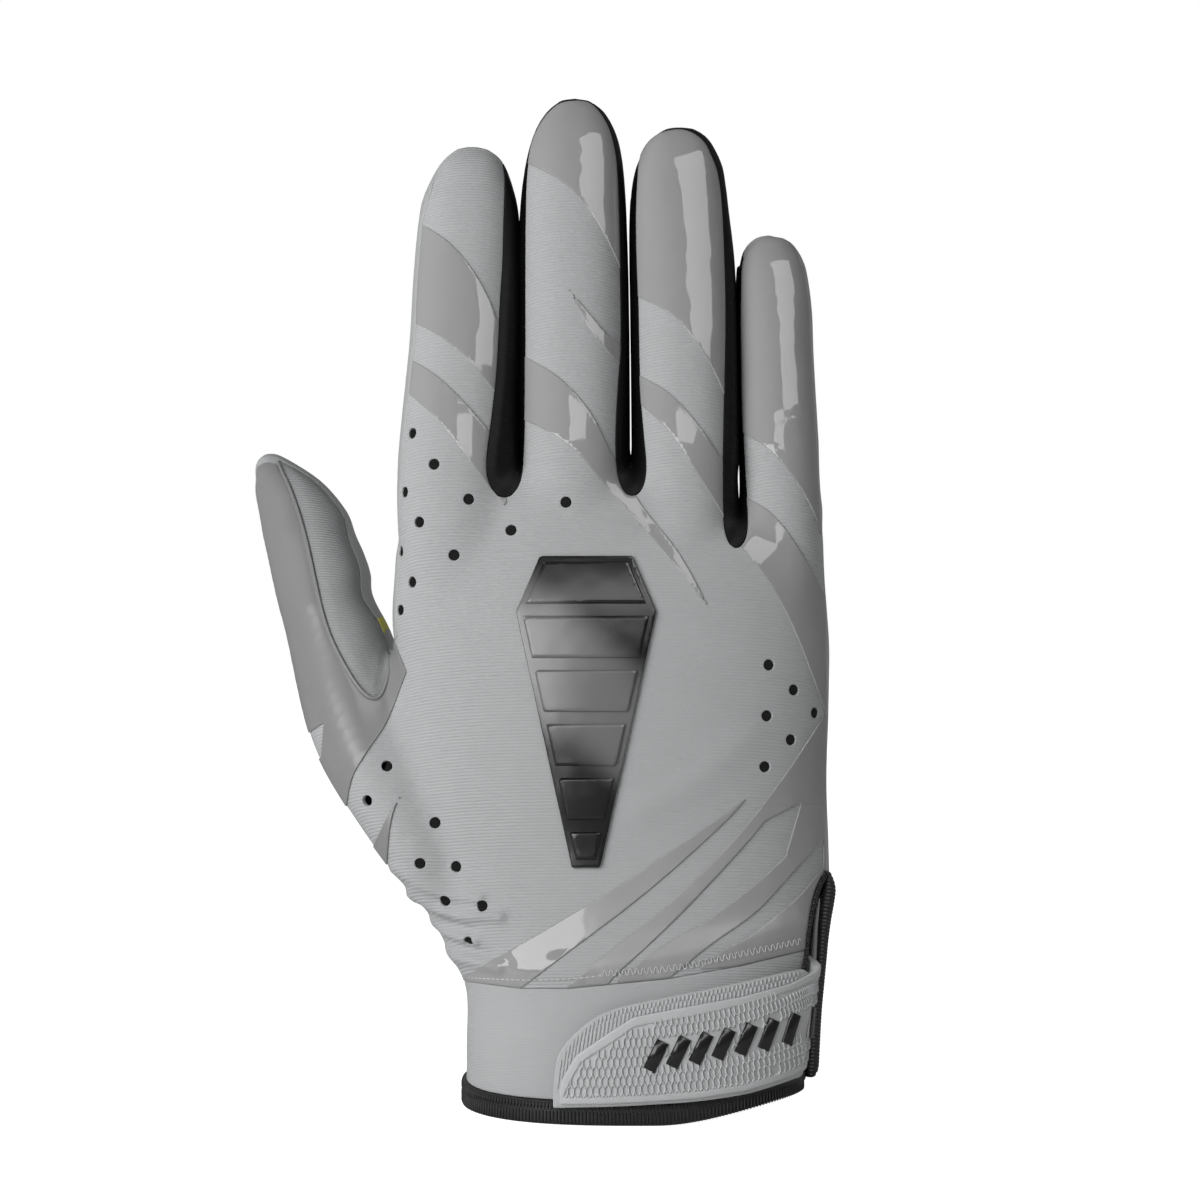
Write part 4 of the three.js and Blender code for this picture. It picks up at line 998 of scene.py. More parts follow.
def setOut(name, body, finish, places, unit):
    # places are rows of point, along, normal and size
    carrier = bpy.data.meshes.new(name + "Carrier")
    carrier.from_pydata([Vector(p) * metre for p, _, _, _ in places], [], [])
    turns, sizes = [], []
    for _, along, normal, size in places:
        z = Vector(normal).normalized()
        x = (Vector(along) - Vector(along).dot(z) * z).normalized()
        turns += list(Matrix((x, z.cross(x), z)).transposed().to_euler())
        sizes += list(size)
    for key, values in (("turn", turns), ("size", sizes)):
        carrier.attributes.new(key, "FLOAT_VECTOR", "POINT").data.foreach_set("vector", values)
    holder = bpy.data.objects.new(name + "Carrier", carrier)
    piece = objectFrom(name + "Unit", *unit, smooth=False)
    bpy.context.scene.collection.objects.link(holder)
    modifier = holder.modifiers.new("setOut", "NODES")
    modifier.node_group = setOutTree
    socketIds = {i.name: i.identifier for i in setOutTree.interface.items_tree if i.in_out == "INPUT"}
    modifier[socketIds["Unit"]] = piece
    modifier[socketIds["Material"]] = materials[finish]
    holder.update_tag()
    ready = holder.evaluated_get(bpy.context.evaluated_depsgraph_get())
    mesh = bpy.data.meshes.new_from_object(ready)
    mesh.polygons.foreach_set("use_smooth", np.ones(len(mesh.polygons), bool))
    mesh.set_sharp_from_angle(angle=math.radians(50))
    made = bpy.data.objects.new(name, mesh)
    bpy.context.scene.collection.objects.link(made)
    for old in (holder, piece):
        bpy.data.objects.remove(old)
    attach(made, body)
    print(name, len(places), "set out,", len(mesh.polygons), "faces")


def outwards(points, faces):
    volume = np.sum(np.cross(points[faces[:, 0]], points[faces[:, 1]]) * points[faces[:, 2]])
    return faces if volume > 0 else faces[:, ::-1]


# A bar along X with a rounded top, seated at z 0
def barUnit(length, width, height, ends=0.35):
    profile = [(-0.5, -0.3), (-0.5, 0.35), (-0.32, 0.8), (0, 1), (0.32, 0.8), (0.5, 0.35), (0.5, -0.3)]
    count = len(profile)
    stations = [(-0.5, 0.45), (-0.5 + ends * width / length, 1), (0.5 - ends * width / length, 1), (0.5, 0.45)]
    points = [[x * length, y * width * k, z * height * (k if z > 0 else 1)] for x, k in stations for y, z in profile]
    faces = []
    for i in range(len(stations) - 1):
        for k in range(count):
            a, b = i * count + k, i * count + (k + 1) % count
            faces += [[a, b + count, b], [a, a + count, b + count]]
    last = (len(stations) - 1) * count
    for k in range(1, count - 1):
        faces += [[0, k, k + 1], [last, last + k + 1, last + k]]
    points, faces = np.array(points), np.array(faces)
    return points, outwards(points, faces)


# A flat bar along X with bevelled edges
def slabUnit(length, width, height, bevel):
    corners = np.array([(-0.5, -0.5), (0.5, -0.5), (0.5, 0.5), (-0.5, 0.5)])
    rings = [(length, width, -0.2), (length, width, height - bevel), (length - 2 * bevel, width - 2 * bevel, height)]
    points = np.concatenate([np.column_stack([corners * (a, b), np.full(4, z)]) for a, b, z in rings])
    faces = [[0, 2, 1], [0, 3, 2], [8, 9, 10], [8, 10, 11]]
    for i in (0, 4):
        for k in range(4):
            a, b = i + k, i + (k + 1) % 4
            faces += [[a, b, b + 4], [a, b + 4, a + 4]]
    return points, np.array(faces)


def tubeUnit(path, radius, sides=8, closed=False):
    path = np.array(path, float)
    count = len(path)
    step = np.roll(path, -1, 0) - np.roll(path, 1, 0) if closed else np.gradient(path, axis=0)
    step /= np.linalg.norm(step, axis=1, keepdims=True)
    side = np.cross(step, (0, 0, 1.0))
    side /= np.linalg.norm(side, axis=1, keepdims=True)
    rise = np.cross(side, step)
    turn = np.arange(sides) / sides * 2 * np.pi
    ring = side[:, None] * np.cos(turn)[:, None] + rise[:, None] * np.sin(turn)[:, None]
    points = (path[:, None] + radius * ring).reshape(-1, 3)
    faces = []
    for i in range(count if closed else count - 1):
        for k in range(sides):
            a, b = i * sides + k, i * sides + (k + 1) % sides
            c, d = ((i + 1) % count) * sides + k, ((i + 1) % count) * sides + (k + 1) % sides
            faces += [[a, b, d], [a, d, c]]
    if not closed:
        last = (count - 1) * sides
        for k in range(1, sides - 1):
            faces += [[0, k + 1, k], [last, last + k, last + k + 1]]
    faces = np.array(faces)
    return points, outwards(points, faces)


# The place and the normal of a skin's front at a picture point, from the points nearest to it
def seatAt(skin, px, row, count):
    x, y = pixelOf(skin["p"])
    front = skin["n"][:, 1] < -0.1
    d = np.where(front, (x - px) ** 2 + (y - row) ** 2, 1e12)
    near = np.argpartition(d, count)[:count]
    design = np.stack([np.ones(count), x[near] - px, y[near] - row], 1)
    depth = np.linalg.lstsq(design, skin["p"][near, 1], rcond=None)[0][0] - shift["y"]
    n = skin["n"][near].mean(0)
    return np.array([acrossAt(px, depth), depth + shift["y"], upAt(row, depth)]), n / np.linalg.norm(n)


def fieldAt(field, point, normal):
    return field({"p": point[None], "n": normal[None]})[0]


def runOf(points):
    return np.concatenate([[0], np.cumsum(np.linalg.norm(np.diff(points, axis=0), axis=1))])


def atRun(s, run, values):
    return np.array([np.interp(s, run, values[:, axis]) for axis in range(3)])


# Evenly spaced places along a line drawn on the picture, seated on a skin
def placesAlong(skin, line, pitch, lift=0.0, across=True):
    steps = 12
    line = curved(line, steps, 90)[:steps * (len(line) - 1) + 1]
    seats = [seatAt(skin, *spot, 16) for spot in line]
    p, n = np.array([s[0] for s in seats]), np.array([s[1] for s in seats])
    run = runOf(p)
    places = []
    for k, s in enumerate(np.arange(pitch / 2, run[-1], pitch)):
        point, normal = atRun(s, run, p), atRun(s, run, n)
        i = min(np.searchsorted(run, s), len(run) - 1)
        along = p[i] - p[max(i - 1, 0)]
        turned = np.cross(normal, along) if across else along * (1 if k % 2 else -1)
        places.append((point + normal * lift, turned, normal, (1, 1, 1)))
    return places


# Back of the hand, with its perforations
ventMiddles = np.array([seatAt(handSkin, *spot, 8)[0] for spot in ventsPx])
ventRefine = (2.2, 1.0)  # the skin is refined twice round each vent


def ventDistance(skin):
    d = np.full(len(skin["p"]), 9.0)
    for middle in ventMiddles:
        d = np.minimum(d, np.linalg.norm(skin["p"] - middle, axis=1) - seams["ventRadius"])
    return d


def refinedAtVents(skin):
    for reach in ventRefine:
        skin = refine(skin, ventDistance(skin) < reach)
    return skin


backSkin = region(handSkin, backSide, aboveCuff, *outsideStrips, outside(thumbInner), outside(palmWrap),
                  outside(slitRoom), outside(slitEdge))
backSkin = edgeRows(backSkin, 0, rollSteps(seams["roll"]))
print("back skin", len(backSkin["t"]))

pierced = clip(refinedAtVents(backSkin), ventDistance)
pierced = hold(pierced, pierced["a"][:, 0], ventDistance(pierced))
pierced = edgeRows(pierced, 1, (0.03, seams["ventRoll"]))
pierceDrop = np.maximum(rolled(pierced["a"][:, 0], seams["roll"]), rolled(pierced["a"][:, 1], seams["ventRoll"]))
finished("back_panel", glove, "knit", "knit", shell(pierced, -pierceDrop, -hand["wall"]))

# The mesh behind the vents swells a little into each of them
ventMesh = {"top": -1.35, "bottom": -1.75, "swellInset": 0.14, "swellTop": -0.3, "swellBottom": -1.4, "swellReach": 2.6}
swellSkin = only(handSkin, (ventDistance(handSkin) < ventMesh["swellReach"])[handSkin["t"]].any(1))
swellSkin = refinedAtVents(swellSkin)


def inVents(skin):
    return -ventDistance(skin) - ventMesh["swellInset"]


def ventMeshShells(outline):
    meshField = outlineField(outline)
    mesh = region(handSkin, least(backSide, meshField))
    swell = region(swellSkin, least(meshField, inVents), gap=0)
    return (shell(mesh, ventMesh["top"], ventMesh["bottom"]),
            shell(swell, ventMesh["swellTop"], ventMesh["swellBottom"]))


# Films follow the back panel over its rolled edges. The thumb's film ends in a piping
film = {"seat": 0.02, "edge": 0.35, "fade": 0.6}
piping = {"lift": 0.2, "radius": 0.42, "sides": 10}


def filmShell(outline):
    edgeOf = outlineField(outline, corner=20)
    skin = clip(backSkin, edgeOf)
    skin = hold(skin, skin["a"][:, 0], edgeOf(skin))
    skin = edgeRows(skin, 1, [seams["filmRoll"] * s for s in (0.3, 1)])
    seat = film["seat"] - rolled(skin["a"][:, 0], seams["roll"])
    lift = seams["filmLift"] - rolled(skin["a"][:, 1], seams["filmRoll"])
    lift *= film["edge"] + (1 - film["edge"]) * smoothStep(skin["a"][:, 0] / film["fade"])
    return shell(skin, seat + lift, seat)


def thumbPiping():
    seats = [seatAt(handSkin, *spot, 16) for spot in curved(thumbInnerPx[:17], 4, 90)[:62]]
    line = np.array([p + n * piping["lift"] for p, n in seats])
    for _ in range(4):
        line[1:-1] = (line[:-2] + 2 * line[1:-1] + line[2:]) / 4
    return tubeUnit(line, piping["radius"], piping["sides"])


for name, outline in filmsPx.items():
    extra = [thumbPiping()] if name == "thumb" else []
    finished("film_" + name, glove, "film", "thumbFilm" if "thumb" in name else "film", filmShell(outline), *extra)
for name, outline in ventMeshPx.items():
    finished("vent_mesh_" + name, glove, "mesh", "mesh", *ventMeshShells(outline))

# Strips between the fingers, puffed out a little below the fingertips
tipRows = np.array([rows[-1][0] for rows in fingerRows.values()])
puffBelow = (22, 140)  # rows below the tip where the puff starts, and how it grows


def belowTip(skin):
    px, row = pixelOf(skin["p"])
    return smoothStep((row - tipRows[np.searchsorted(fingerEdgesPx, px)] - puffBelow[0]) / puffBelow[1])


for name, field in strips.items():
    skin = edgeRows(region(handSkin, field, aboveCuff), 0, rollSteps(seams["roll"]))
    puff = fourchettePuff[name] * smoothStep(skin["a"][:, 0] / 2.2) * belowTip(skin)
    finished("fourchette_" + name, glove, "stretch", "stretch",
             shell(skin, puff - rolled(skin["a"][:, 0], seams["roll"]), -hand["wall"]))

# Palm, with a lining strip that stands inside the slit: rows, left and right, then its depths
lining = {"rows": [[972, 808.5, 815.5], [950, 810, 817], [925, 812.5, 818], [908, 815, 819.5], [898, 817.5, 820]],
          "back": -7.6, "front": -5.2}
palmSkin = region(handSkin, palmSide, outside(thumbField), *outsideStrips, aboveCuff)
liningRows = np.array([[*row, lining["back"], lining["front"]] for row in lining["rows"]])
finished("palm_panel", glove, "grip", "grip", rolledShell(palmSkin), loft(denseRows(liningRows, 24), 24, 2.2))

# Thumb and tab
thumbInnerRoll = {"steps": (0.1, 0.3, 0.7, 1.2), "radius": 0.7, "puffReach": 3.4}
inner = region(handSkin, backSide, thumbInner, outside(palmWrap))
inner = edgeRows(inner, 0, thumbInnerRoll["steps"])
innerTop = (thumbInnerPuff * smoothStep(inner["a"][:, 0] / thumbInnerRoll["puffReach"])
            - rolled(inner["a"][:, 0], thumbInnerRoll["radius"]))
finished("thumb_inner_panel", glove, "knit", "thumbKnit", shell(inner, innerTop, -hand["wall"]))
ball = region(handSkin, thumbField, most(palmSide, palmWrap), aboveCuff)
finished("thumb_palm_panel", glove, "grip", "grip", rolledShell(ball))
tab = region(handSkin, outlineField(crotchTabPx, False), frontField(hand["handDepth"] / 2))
finished("thumb_crotch_tab", glove, "yellow_tab", "yellow", rolledShell(tab, 0.12, 0.18, 0.03))

# The hem rises towards the slit
hemRise = {"start": 26.0, "end": 58.0, "height": 4.0, "reach": 16.0}


def raised(points):
    lift = hemRise["height"] * smoothStep((points[:, 0] - hemRise["start"]) / (hemRise["end"] - hemRise["start"]))
    lift *= 1 - smoothStep(points[:, 2] / hemRise["reach"])
    return points + lift[:, None] * (0, 0, 1)


def raisedShell(shape):
    points, faces = shape
    return raised(points), faces


# Cuff and its elastic
elastic = {"foot": 30.1, "top": 39.1, "outer": -2.0, "inner": -2.9, "roll": 0.2}
overHem = heightField(hemTop + 0.1)
cuffBack = region(handSkin, belowCuff, overHem, backSide, outside(slitRoom), outside(slitEdge))
finished("cuff_back", glove, "knit", "cuffKnit", raisedShell(rolledShell(cuffBack)))
cuffPalm = region(handSkin, belowCuff, overHem, palmSide)
finished("cuff_palm", glove, "grip", "grip", raisedShell(rolledShell(cuffPalm)))
elasticSkin = region(handSkin, heightField(elastic["foot"]), outside(heightField(elastic["top"])),
                     lambda skin: shift["x"] - skin["p"][:, 0])
finished("wrist_elastic", glove, "binding", "binding",
         rolledShell(elasticSkin, elastic["roll"], elastic["outer"], elastic["inner"]))

# Bindings round the mouth and on the back edge of the slit
hem = region(handSkin, heightField(0), outside(heightField(hemTop)), outside(slitRoom), gap=0)
finished("hem_binding", glove, "binding", "binding", raisedShell(rolledShell(hem, 0.8, 0.8, -1.9)))
edging = region(handSkin, slitEdge, overHem, backSide, outside(slitRoom))
finished("slit_binding_back", glove, "binding", "binding", rolledShell(edging, 0.6, 0.62, -1.6))

# Binding on the palm edge of the slit: a tube beside the seam of back and palm
rearTube = {"drop": 0.15, "depth": 4.2}
rearRows = []
for row, left, right in rearBindingRows:
    front = splitShare(row, handSplit) * hand["handDepth"] - rearTube["drop"]
    rearRows.append([row, left, right, front - rearTube["depth"], front])
finished("slit_binding_palm", glove, "binding", "binding", loft(denseRows(rearRows, 40), 48, 2.3))

# Pad of glossy bars on the back
pad = {"lift": 0.32, "inset": 1.3, "left": 400, "right": 760}
padSkin, padField = lifted(handSkin, pad["lift"]), outlineField(padPx, False)
padShells = [rolledShell(region(padSkin, padField, frontField(0), gap=0), 0.25, 0.5, 0.0)]
for top, foot in padBarRows:
    band = outlineField([[pad["left"], top], [pad["right"], top], [pad["right"], foot], [pad["left"], foot]], False)
    barSkin = region(padSkin, lambda skin: padField(skin) - pad["inset"], band, frontField(0), gap=0)
    padShells.append(rolledShell(barSkin, 0.5, 1.1, 0.3))
finished("back_pad", glove, "gloss_rubber", "pad", *padShells)

# The strap lies on an even skin, in layers, and folds back round the front edge of the slit
fold = {"start": math.radians(40), "span": math.radians(52), "spread": 4.4, "stretch": 1.33, "ease": 1.0,
        "height": 20, "band": 13, "right": 40}
layers = {"hooks": 1.4, "body": 2.4, "ribs": 3.55, "moulding": 3.6, "comb": 3.95}
evenPoints = relax(handPoints, handFaces, 60, 0.6 * (1 - smoothStep((handPoints[:, 2] - 36) / 8)))
evenSkin = hold({"p": evenPoints, "n": normalsOf(evenPoints, handFaces), "t": handFaces})
facing = np.arctan2(evenSkin["n"][:, 0], -evenSkin["n"][:, 1])
foldBand = ((np.abs(facing - fold["start"]) < 0.04) & (np.abs(evenPoints[:, 2] - fold["height"]) < fold["band"])
            & (evenPoints[:, 0] > fold["right"]))
foldLine = [np.polyfit(evenPoints[foldBand, 2], evenPoints[foldBand, axis], 1) for axis in (0, 1)]
print("fold at", [round(float(np.polyval(line, fold["height"])), 1) for line in foldLine])


def foldSeat(z):
    return np.stack([np.polyval(line, z) for line in foldLine], 1)


def foldPlace(p, n, lift):
    base = p - n * lift
    seat = foldSeat(base[:, 2])
    tangent = (math.cos(fold["start"]), math.sin(fold["start"]))
    beyond = (base[:, :2] - seat) @ tangent * (base[:, 0] > fold["right"])
    return seat, beyond, fold["start"] + beyond * fold["stretch"] / fold["spread"]


def foldEnd(lift):
    return lambda skin: (fold["start"] + fold["span"] - foldPlace(skin["p"], skin["n"], lift)[2]) * fold["spread"]


def folded(skin, lift):
    p, n = skin["p"].copy(), skin["n"].copy()
    seat, beyond, turn = foldPlace(p, n, lift)
    flat = np.sqrt(1 - n[:, 2:] ** 2)
    way = np.stack([np.sin(turn), -np.cos(turn)], 1) * flat
    share = smoothStep(beyond / fold["ease"])[:, None]
    p[:, :2] = p[:, :2] * (1 - share) + (seat + lift * way) * share
    n[:, :2] = n[:, :2] * (1 - share) + way * share
    return skin | {"p": p, "n": n / np.linalg.norm(n, axis=1, keepdims=True)}


def foldedPlaces(places, lift):
    p, n = np.array([place[0] for place in places]), np.array([place[2] for place in places])
    bent = folded({"p": p, "n": n}, lift)
    out = []
    for (_, along, normal, size), q, m in zip(places, bent["p"], bent["n"]):
        turn = math.atan2(m[0], -m[1]) - math.atan2(normal[0], -normal[1])
        c, s = math.cos(turn), math.sin(turn)
        out.append((q, (along[0] * c - along[1] * s, along[0] * s + along[1] * c, along[2]), m, size))
    return out


# Patches and strap
loops = region(lifted(handSkin, 0.3), outlineField(loopPatchPx), frontField(0), gap=0)
finished("loop_patch", glove, "loop", "loop", rolledShell(loops, 0.3, 0.8, 0.0))
hooks = region(lifted(evenSkin, layers["hooks"]), outlineField(hookPatchPx), frontField(0), gap=0)
finished("hook_patch", strapBody, "hook", "hook", rolledShell(hooks, 0.3, 0.8, 0.0))


def strapLayer(outline, lift):
    return region(lifted(evenSkin, lift), outline, frontField(slitFloor), foldEnd(lift), gap=0)


strapSkin = folded(strapLayer(outlineField(strapPx), layers["body"]), layers["body"])
finished("strap_body", strapBody, "strap_border", "strapCloth", rolledShell(strapSkin, 0.5, 1.2, 0.0))
face = {"height": 0.62, "sunk": 0.27, "sunkEdge": 0.25, "roll": 0.3, "foot": 0.02}
combField = outlineField(combFieldPx, False)
faceLayer = strapLayer(outlineField(mouldingPx, False), layers["moulding"])
faceLayer = edgeRows(faceLayer, 0, (0.03, 0.1, face["roll"]))
faceLayer = hold(faceLayer, faceLayer["a"][:, 0], combField(faceLayer))
faceLayer = edgeRows(faceLayer, 1, (0.02, 0.12, face["sunkEdge"]))
faceTop = (face["height"] - face["sunk"] * smoothStep(faceLayer["a"][:, 1] / face["sunkEdge"])
           - rolled(faceLayer["a"][:, 0], face["roll"]))
finished("strap_moulding", strapBody, "moulding", "moulding",
         shell(folded(faceLayer, layers["moulding"]), faceTop, face["foot"]))

# Ribs of the hem binding: a short one above its sewn line and a long one below, in turn
hemRib = {"pitch": 0.76, "width": 0.46, "height": 0.4, "seat": 0.76, "short": (4.05, 1.35), "long": (1.65, 2.9)}


def hemRibPlaces():
    ring, above = splitAlong(handSkin, handSkin["p"][:, 2] - hemTop / 2)
    p, n = ring["p"][above == 0], ring["n"][above == 0]
    order = np.argsort(np.arctan2(p[:, 1] - shift["y"], p[:, 0] - 22))
    p, n = p[order], n[order]
    run = runOf(p)
    places = []
    for k, s in enumerate(np.arange(0.25, run[-1], hemRib["pitch"] / 2)):
        point, normal = atRun(s, run, p), atRun(s, run, n) * (1, 1, 0)
        normal /= np.linalg.norm(normal)
        if fieldAt(slitRoom, point, normal) < -0.3:
            height, tall = hemRib["long" if k % 2 else "short"]
            place = np.array([*(point + normal * hemRib["seat"])[:2], height])
            places.append((raised(place[None])[0], (0, 0, 1), normal, (tall, 1, 1)))
    return places


setOut("hem_ribs", glove, "binding", hemRibPlaces(), barUnit(1, hemRib["width"], hemRib["height"]))

# Ribs of the slit's bindings
frontEdge = [[826, 871.5], [821.8, 881], [816.3, 895.5], [812, 914], [809, 933], [806.8, 951], [801.2, 982],
             [798.3, 1000], [797.2, 1069]]
edgePlaces = placesAlong(lifted(handSkin, 0.5), frontEdge, 0.7)
setOut("slit_back_ribs", glove, "binding", edgePlaces, barUnit(1.0, 0.42, 0.3))

rearRib = {"pitch": 0.8, "radius": 0.31, "stretch": 2.2, "foot": 0.5, "top": 0.4}


def rearRibPlaces():
    x, y, z, wide, deep = sectionSizes(denseRows(rearRows, 400))
    places = []
    for height in np.arange(z.min() + rearRib["foot"], z.max() - rearRib["top"], rearRib["pitch"]):
        at = [np.interp(height, z, values) for values in (x, y, wide, deep)]
        places.append(((at[0], at[1], height), (1, 0, 0), (0, 0, 1), (at[2], at[3], rearRib["stretch"])))
    return places


ringPath = [[math.cos(a), math.sin(a), 0] for a in np.linspace(0, 2 * math.pi, 28, endpoint=False)]
setOut("slit_palm_ribs", glove, "binding", rearRibPlaces(), tubeUnit(ringPath, rearRib["radius"], 8, True))

# The strap's border has two rows of upright ribs with a sewn line between them
strapRib = {"pitch": 4.1, "width": 0.5, "height": 0.28, "start": 558.5, "end": 800, "spare": 1.0, "inset": 1.3,
            "stagger": 2, "shortest": 0.5, "lean": 0.12}
strapHeight = 42


def strapSeats(lift):
    skin = lifted(evenSkin, lift)
    low = skin["p"][:, 2] < strapHeight
    return {key: skin[key][low] for key in ("p", "n")}


def borderRibPlaces():
    outer, inner, sewn = (np.array(line).T for line in (strapPx[1:15], mouldingPx[1:13], stitchPx))
    skin = strapSeats(layers["ribs"])
    places = []
    for x in np.arange(strapRib["start"], strapRib["end"], strapRib["pitch"]):
        top, middle, low = (np.interp(x, *line) for line in (outer, sewn, inner))
        for a, b, stagger in ((top + strapRib["inset"], middle, strapRib["stagger"]), (middle, low, 0)):
            tall = (b - a - strapRib["spare"]) * picture["up"]
            if tall > strapRib["shortest"]:
                point, normal = seatAt(skin, x + stagger, (a + b) / 2, 16)
                places.append((point, (strapRib["lean"], 0, 1), normal, (tall, 1, 1)))
    return foldedPlaces(places, layers["ribs"])


setOut("strap_border_ribs", strapBody, "strapCloth", borderRibPlaces(),
       barUnit(1, strapRib["width"], strapRib["height"], 0.2))

# Stitches of the cuff seam: plain ones at the left, loops at the right
dashLine = [[467, 977.5], [520, 980], [568, 979.5], [600, 976]]
dashPlaces = placesAlong(handSkin, dashLine, 1.25, lift=0.26, across=False)
setOut("cuff_seam_dashes", glove, "thread", dashPlaces, barUnit(0.85, 0.2, 0.14))
seamLine = [[600, 974], [668, 969], [721, 958.5], [799, 941.5]]
loopArc = [[0.33 * math.cos(a), 0.6 * math.sin(a), 0.1 * math.sin(a) - 0.02] for a in np.linspace(0, math.pi, 9)]
loopPlaces = placesAlong(handSkin, seamLine, 0.68, lift=0.34, across=False)
setOut("cuff_seam_stitches", glove, "thread", loopPlaces, tubeUnit(loopArc, 0.09))

# Plain slanted bars on the strap
strapBar = {"length": 6.6, "width": 2.7, "height": 0.5, "bevel": 0.25, "pitch": 22.5, "start": 656, "end": 830,
            "lean": 0.5, "room": 2.1, "endRoom": 0.4, "foldRoom": 0.8}
barLine = np.array([[640, 1059], [700, 1049], [760, 1037], [800, 1027], [840, 1015]]).T
barSpots = [(x, np.interp(x, *barLine)) for x in np.arange(strapBar["start"], strapBar["end"], strapBar["pitch"])]
faceSeats = strapSeats(layers["comb"])
combEnd = foldEnd(layers["comb"])


def underBar(x, y):
    wide = strapBar["room"] / picture["across"]
    tall = (strapBar["length"] / 2 + strapBar["endRoom"]) / picture["up"]
    return any(abs(x - a - (b - y) * strapBar["lean"]) < wide and abs(y - b) < tall for a, b in barSpots)


# Honeycomb of the strap: at every second corner of a cell stand three walls
comb = {"width": 1.28, "rise": 2.1, "wall": 1.35, "rim": 0.55, "height": 0.36, "breadth": 0.36, "overlap": 1.08,
        "levels": 10, "lean": 0.0016, "upright": 600, "mostLean": 0.36, "depth": -24, "foldRoom": 0.4,
        "start": 556, "end": 842}
baseLine = np.array([[556, 1098.5], [615, 1097.5], [660, 1094.6], [698.5, 1091.5], [743, 1085], [773.7, 1076],
                     [797, 1067.5], [815, 1059], [840, 1048]]).T


def inComb(x, y):
    point = np.array([acrossAt(x, comb["depth"]), comb["depth"] + shift["y"], upAt(y, comb["depth"])])
    return fieldAt(combField, point, np.array([0, -1.0, 0])) >= comb["rim"] and not underBar(x, y)


def combPlaces():
    stations = np.arange(comb["start"], comb["end"], 3.0)
    run = runOf([seatAt(faceSeats, x, np.interp(x, *baseLine), 24)[0] for x in stations])
    places = []
    for tier in range(comb["levels"]):
        up = (tier + 0.3) * comb["rise"] / picture["up"]
        for k in range(int(run[-1] / comb["width"])):
            start = np.interp((k + 0.5 * (tier % 2)) * comb["width"], run, stations)
            slope = np.clip(comb["lean"] * (start - comb["upright"]), 0, comb["mostLean"])
            x, y = start - up * slope, np.interp(start, *baseLine) - up
            if not inComb(x, y):
                continue
            point, normal = seatAt(faceSeats, x, y, 16)
            if fieldAt(combEnd, point, normal) >= comb["foldRoom"]:
                places.append((point, (-normal[1], normal[0], -slope * normal[1]), normal, (1, 1, 1)))
    return foldedPlaces(places, layers["comb"])


def combCorner():
    side, drop = comb["width"] / 2, comb["wall"] - comb["rise"]
    walls = []
    for dx, dy in ((0, comb["wall"]), (side, drop), (-side, drop)):
        size = math.hypot(dx, dy)
        p, t = barUnit(size * comb["overlap"], comb["breadth"], comb["height"])
        c, s = dx / size, dy / size
        x, y = p[:, 0] * c - p[:, 1] * s + dx / 2, p[:, 0] * s + p[:, 1] * c + dy / 2
        walls.append((np.stack([x, y, p[:, 2]], 1), t))
    return joined(walls)


def barPlaces():
    places = []
    for spot in barSpots:
        point, normal = seatAt(faceSeats, *spot, 24)
        if fieldAt(combEnd, point, normal) > strapBar["foldRoom"]:
            places.append((point, (strapBar["lean"], 0, 1), normal, (1, 1, 1)))
    return foldedPlaces(places, layers["comb"])


setOut("strap_honeycomb", strapBody, "moulding", combPlaces(), combCorner())
setOut("strap_bars", strapBody, "gloss", barPlaces(),
       slabUnit(strapBar["length"], strapBar["width"], strapBar["height"], strapBar["bevel"]))

# Anchor tail: the strap's root goes on round the fold and into the slit
tail = {"inner": 2.45, "outer": 4.15, "from": math.radians(94), "to": math.radians(168), "steps": 14, "foot": 11.5,
        "top": 31.5, "rise": 2.2}


def anchorTail():
    turns = np.linspace(tail["from"], tail["to"], tail["steps"])
    rise = tail["rise"] * np.linspace(0, 1, tail["steps"])
    way = np.stack([np.sin(turns), -np.cos(turns)], 1)
    rings = []
    for radius, level in (("inner", "foot"), ("outer", "foot"), ("outer", "top"), ("inner", "top")):
        z = tail[level] + rise
        rings.append(np.column_stack([foldSeat(z) + tail[radius] * way, z]))
    points = np.stack(rings, 1).reshape(-1, 3)
    faces = [[0, 1, 2], [0, 2, 3]]
    for i in range(tail["steps"] - 1):
        for k in range(4):
            a, b = i * 4 + k, i * 4 + (k + 1) % 4
            faces += [[a, a + 4, b + 4], [a, b + 4, b]]
    end = (tail["steps"] - 1) * 4
    faces = np.array(faces + [[end, end + 2, end + 1], [end, end + 3, end + 2]])
    return points, outwards(points, faces)


finished("strap_anchor", glove, "knit", "strapCloth", anchorTail())

# Studio: pale floor, white surroundings and a soft key from the upper left
studio = {"floor": 2500, "drop": -0.05, "glow": 0.97, "sky": (0.2, 0.2, 0.2, 1), "white": (1, 1, 1, 1)}
corners = ((-1, -1), (1, -1), (1, 1), (-1, 1))
floorPoints = [[x * studio["floor"], y * studio["floor"], studio["drop"]] for x, y in corners]
floor = objectFrom("floor", floorPoints, [[0, 1, 2], [0, 2, 3]], False)
paperTree = materials["backdrop"].node_tree
seen = paperTree.nodes.new("ShaderNodeLightPath").outputs["Is Camera Ray"]
paper = paperTree.nodes["Principled BSDF"]
paper.inputs["Emission Color"].default_value = studio["white"]
paperTree.links.new(mathOf(paperTree, "MULTIPLY", seen, studio["glow"]), paper.inputs["Emission Strength"])
floor.data.materials.append(materials["backdrop"])


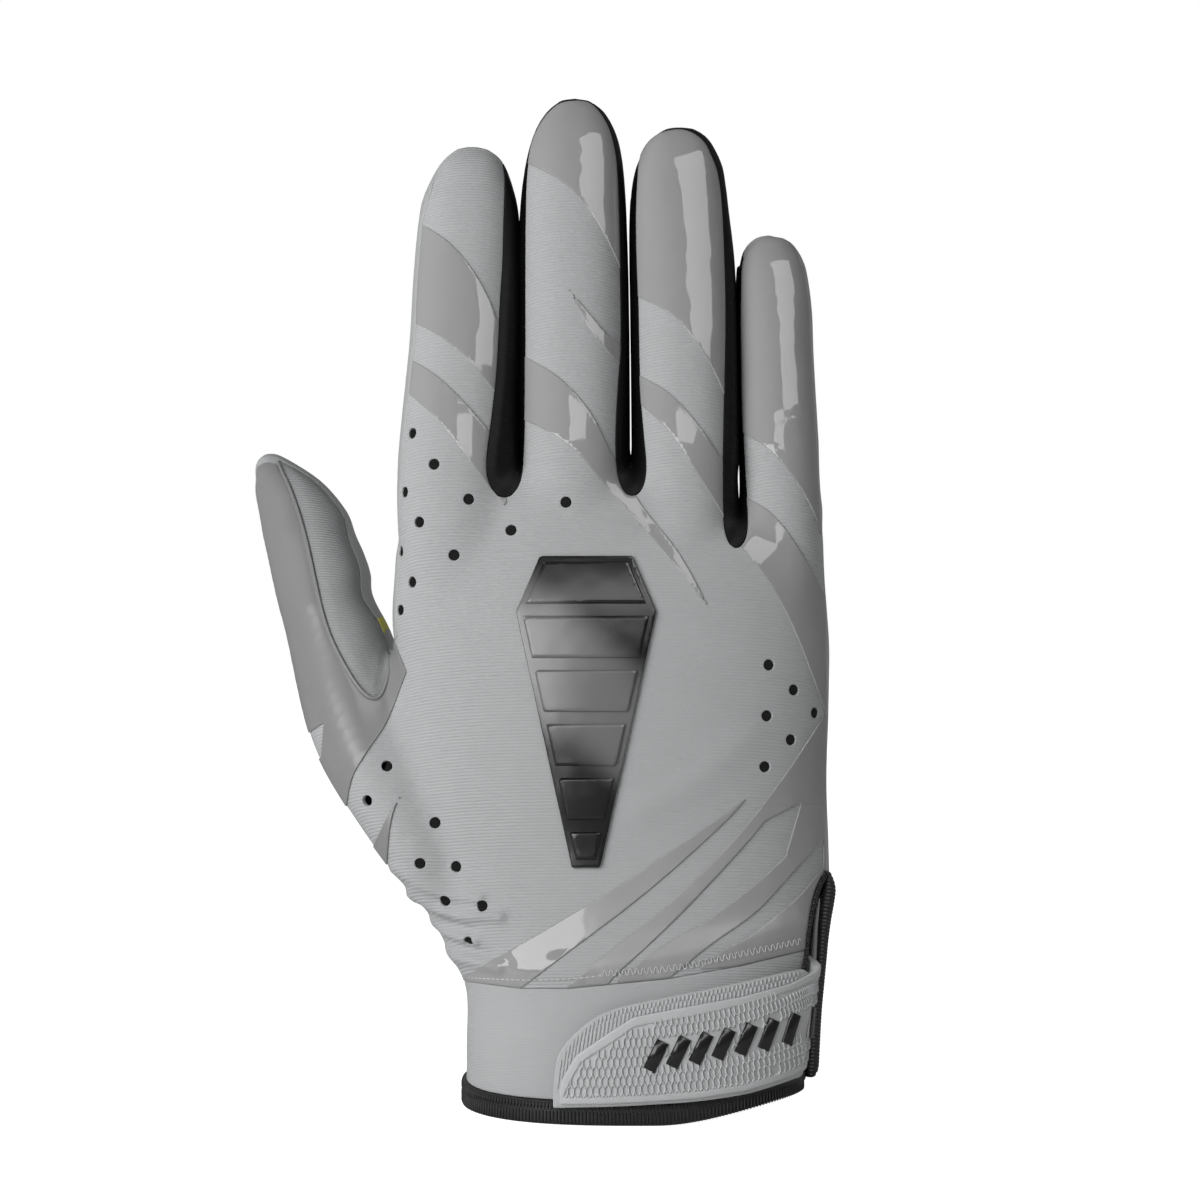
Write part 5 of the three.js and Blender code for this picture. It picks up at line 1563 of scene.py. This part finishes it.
def areaLight(name, azimuth, height, distance, width, tall, radiance, target=110):
    data = bpy.data.lights.new(name, "AREA")
    data.shape = "RECTANGLE"
    data.size, data.size_y = width, tall
    data.energy = radiance * math.pi * width * tall
    lamp = bpy.data.objects.new(name, data)
    bpy.context.scene.collection.objects.link(lamp)
    turn = math.radians(azimuth)
    aim = Vector((shift["x"], shift["y"], target)) * metre
    lamp.location = aim + Vector((math.sin(turn) * distance, -math.cos(turn) * distance, height))
    lamp.rotation_euler = (aim - lamp.location).to_track_quat("-Z", "Y").to_euler()
    return lamp


# The first lamps light the glove; the mirrored ones only show as reflections in the films
lamps = {
    "key": {"azimuth": -46, "height": 0.2, "distance": 0.66, "width": 0.5, "tall": 0.6, "radiance": 4.85},
    "fill": {"azimuth": 108, "height": 0.0, "distance": 0.6, "width": 0.4, "tall": 0.5, "radiance": 0.9},
}
mirrored = {
    "softbox": {"azimuth": 32, "height": 0.26, "distance": 0.38, "width": 0.32, "tall": 0.34, "radiance": 4.0,
                "target": 160},
    "wristPanel": {"azimuth": -26, "height": 0.1, "distance": 0.3, "width": 0.21, "tall": 0.115, "radiance": 6.0,
                   "target": 28},
    "bandPanel": {"azimuth": 3, "height": 0.085, "distance": 0.4, "width": 0.15, "tall": 0.05, "radiance": 4.2,
                  "target": 150},
}
for name, settings in lamps.items():
    areaLight(name, **settings).visible_glossy = False
for name, settings in mirrored.items():
    lamp = areaLight(name, **settings)
    lamp.visible_diffuse = False
    lamp.visible_camera = False

world = bpy.data.worlds.new("studio")
bpy.context.scene.world = world
world.use_nodes = True
skyTree = world.node_tree
background = skyTree.nodes["Background"]
lightPath = skyTree.nodes.new("ShaderNodeLightPath")
sky = addNode(skyTree, "ShaderNodeMix", {"Factor": lightPath.outputs["Is Camera Ray"]}, data_type="RGBA")
sky.inputs[6].default_value = studio["sky"]
sky.inputs[7].default_value = studio["white"]
skyTree.links.new(sky.outputs[2], background.inputs["Color"])
background.inputs["Strength"].default_value = 1.0
bpy.context.scene.view_settings.view_transform = "Standard"
print("studio ready")
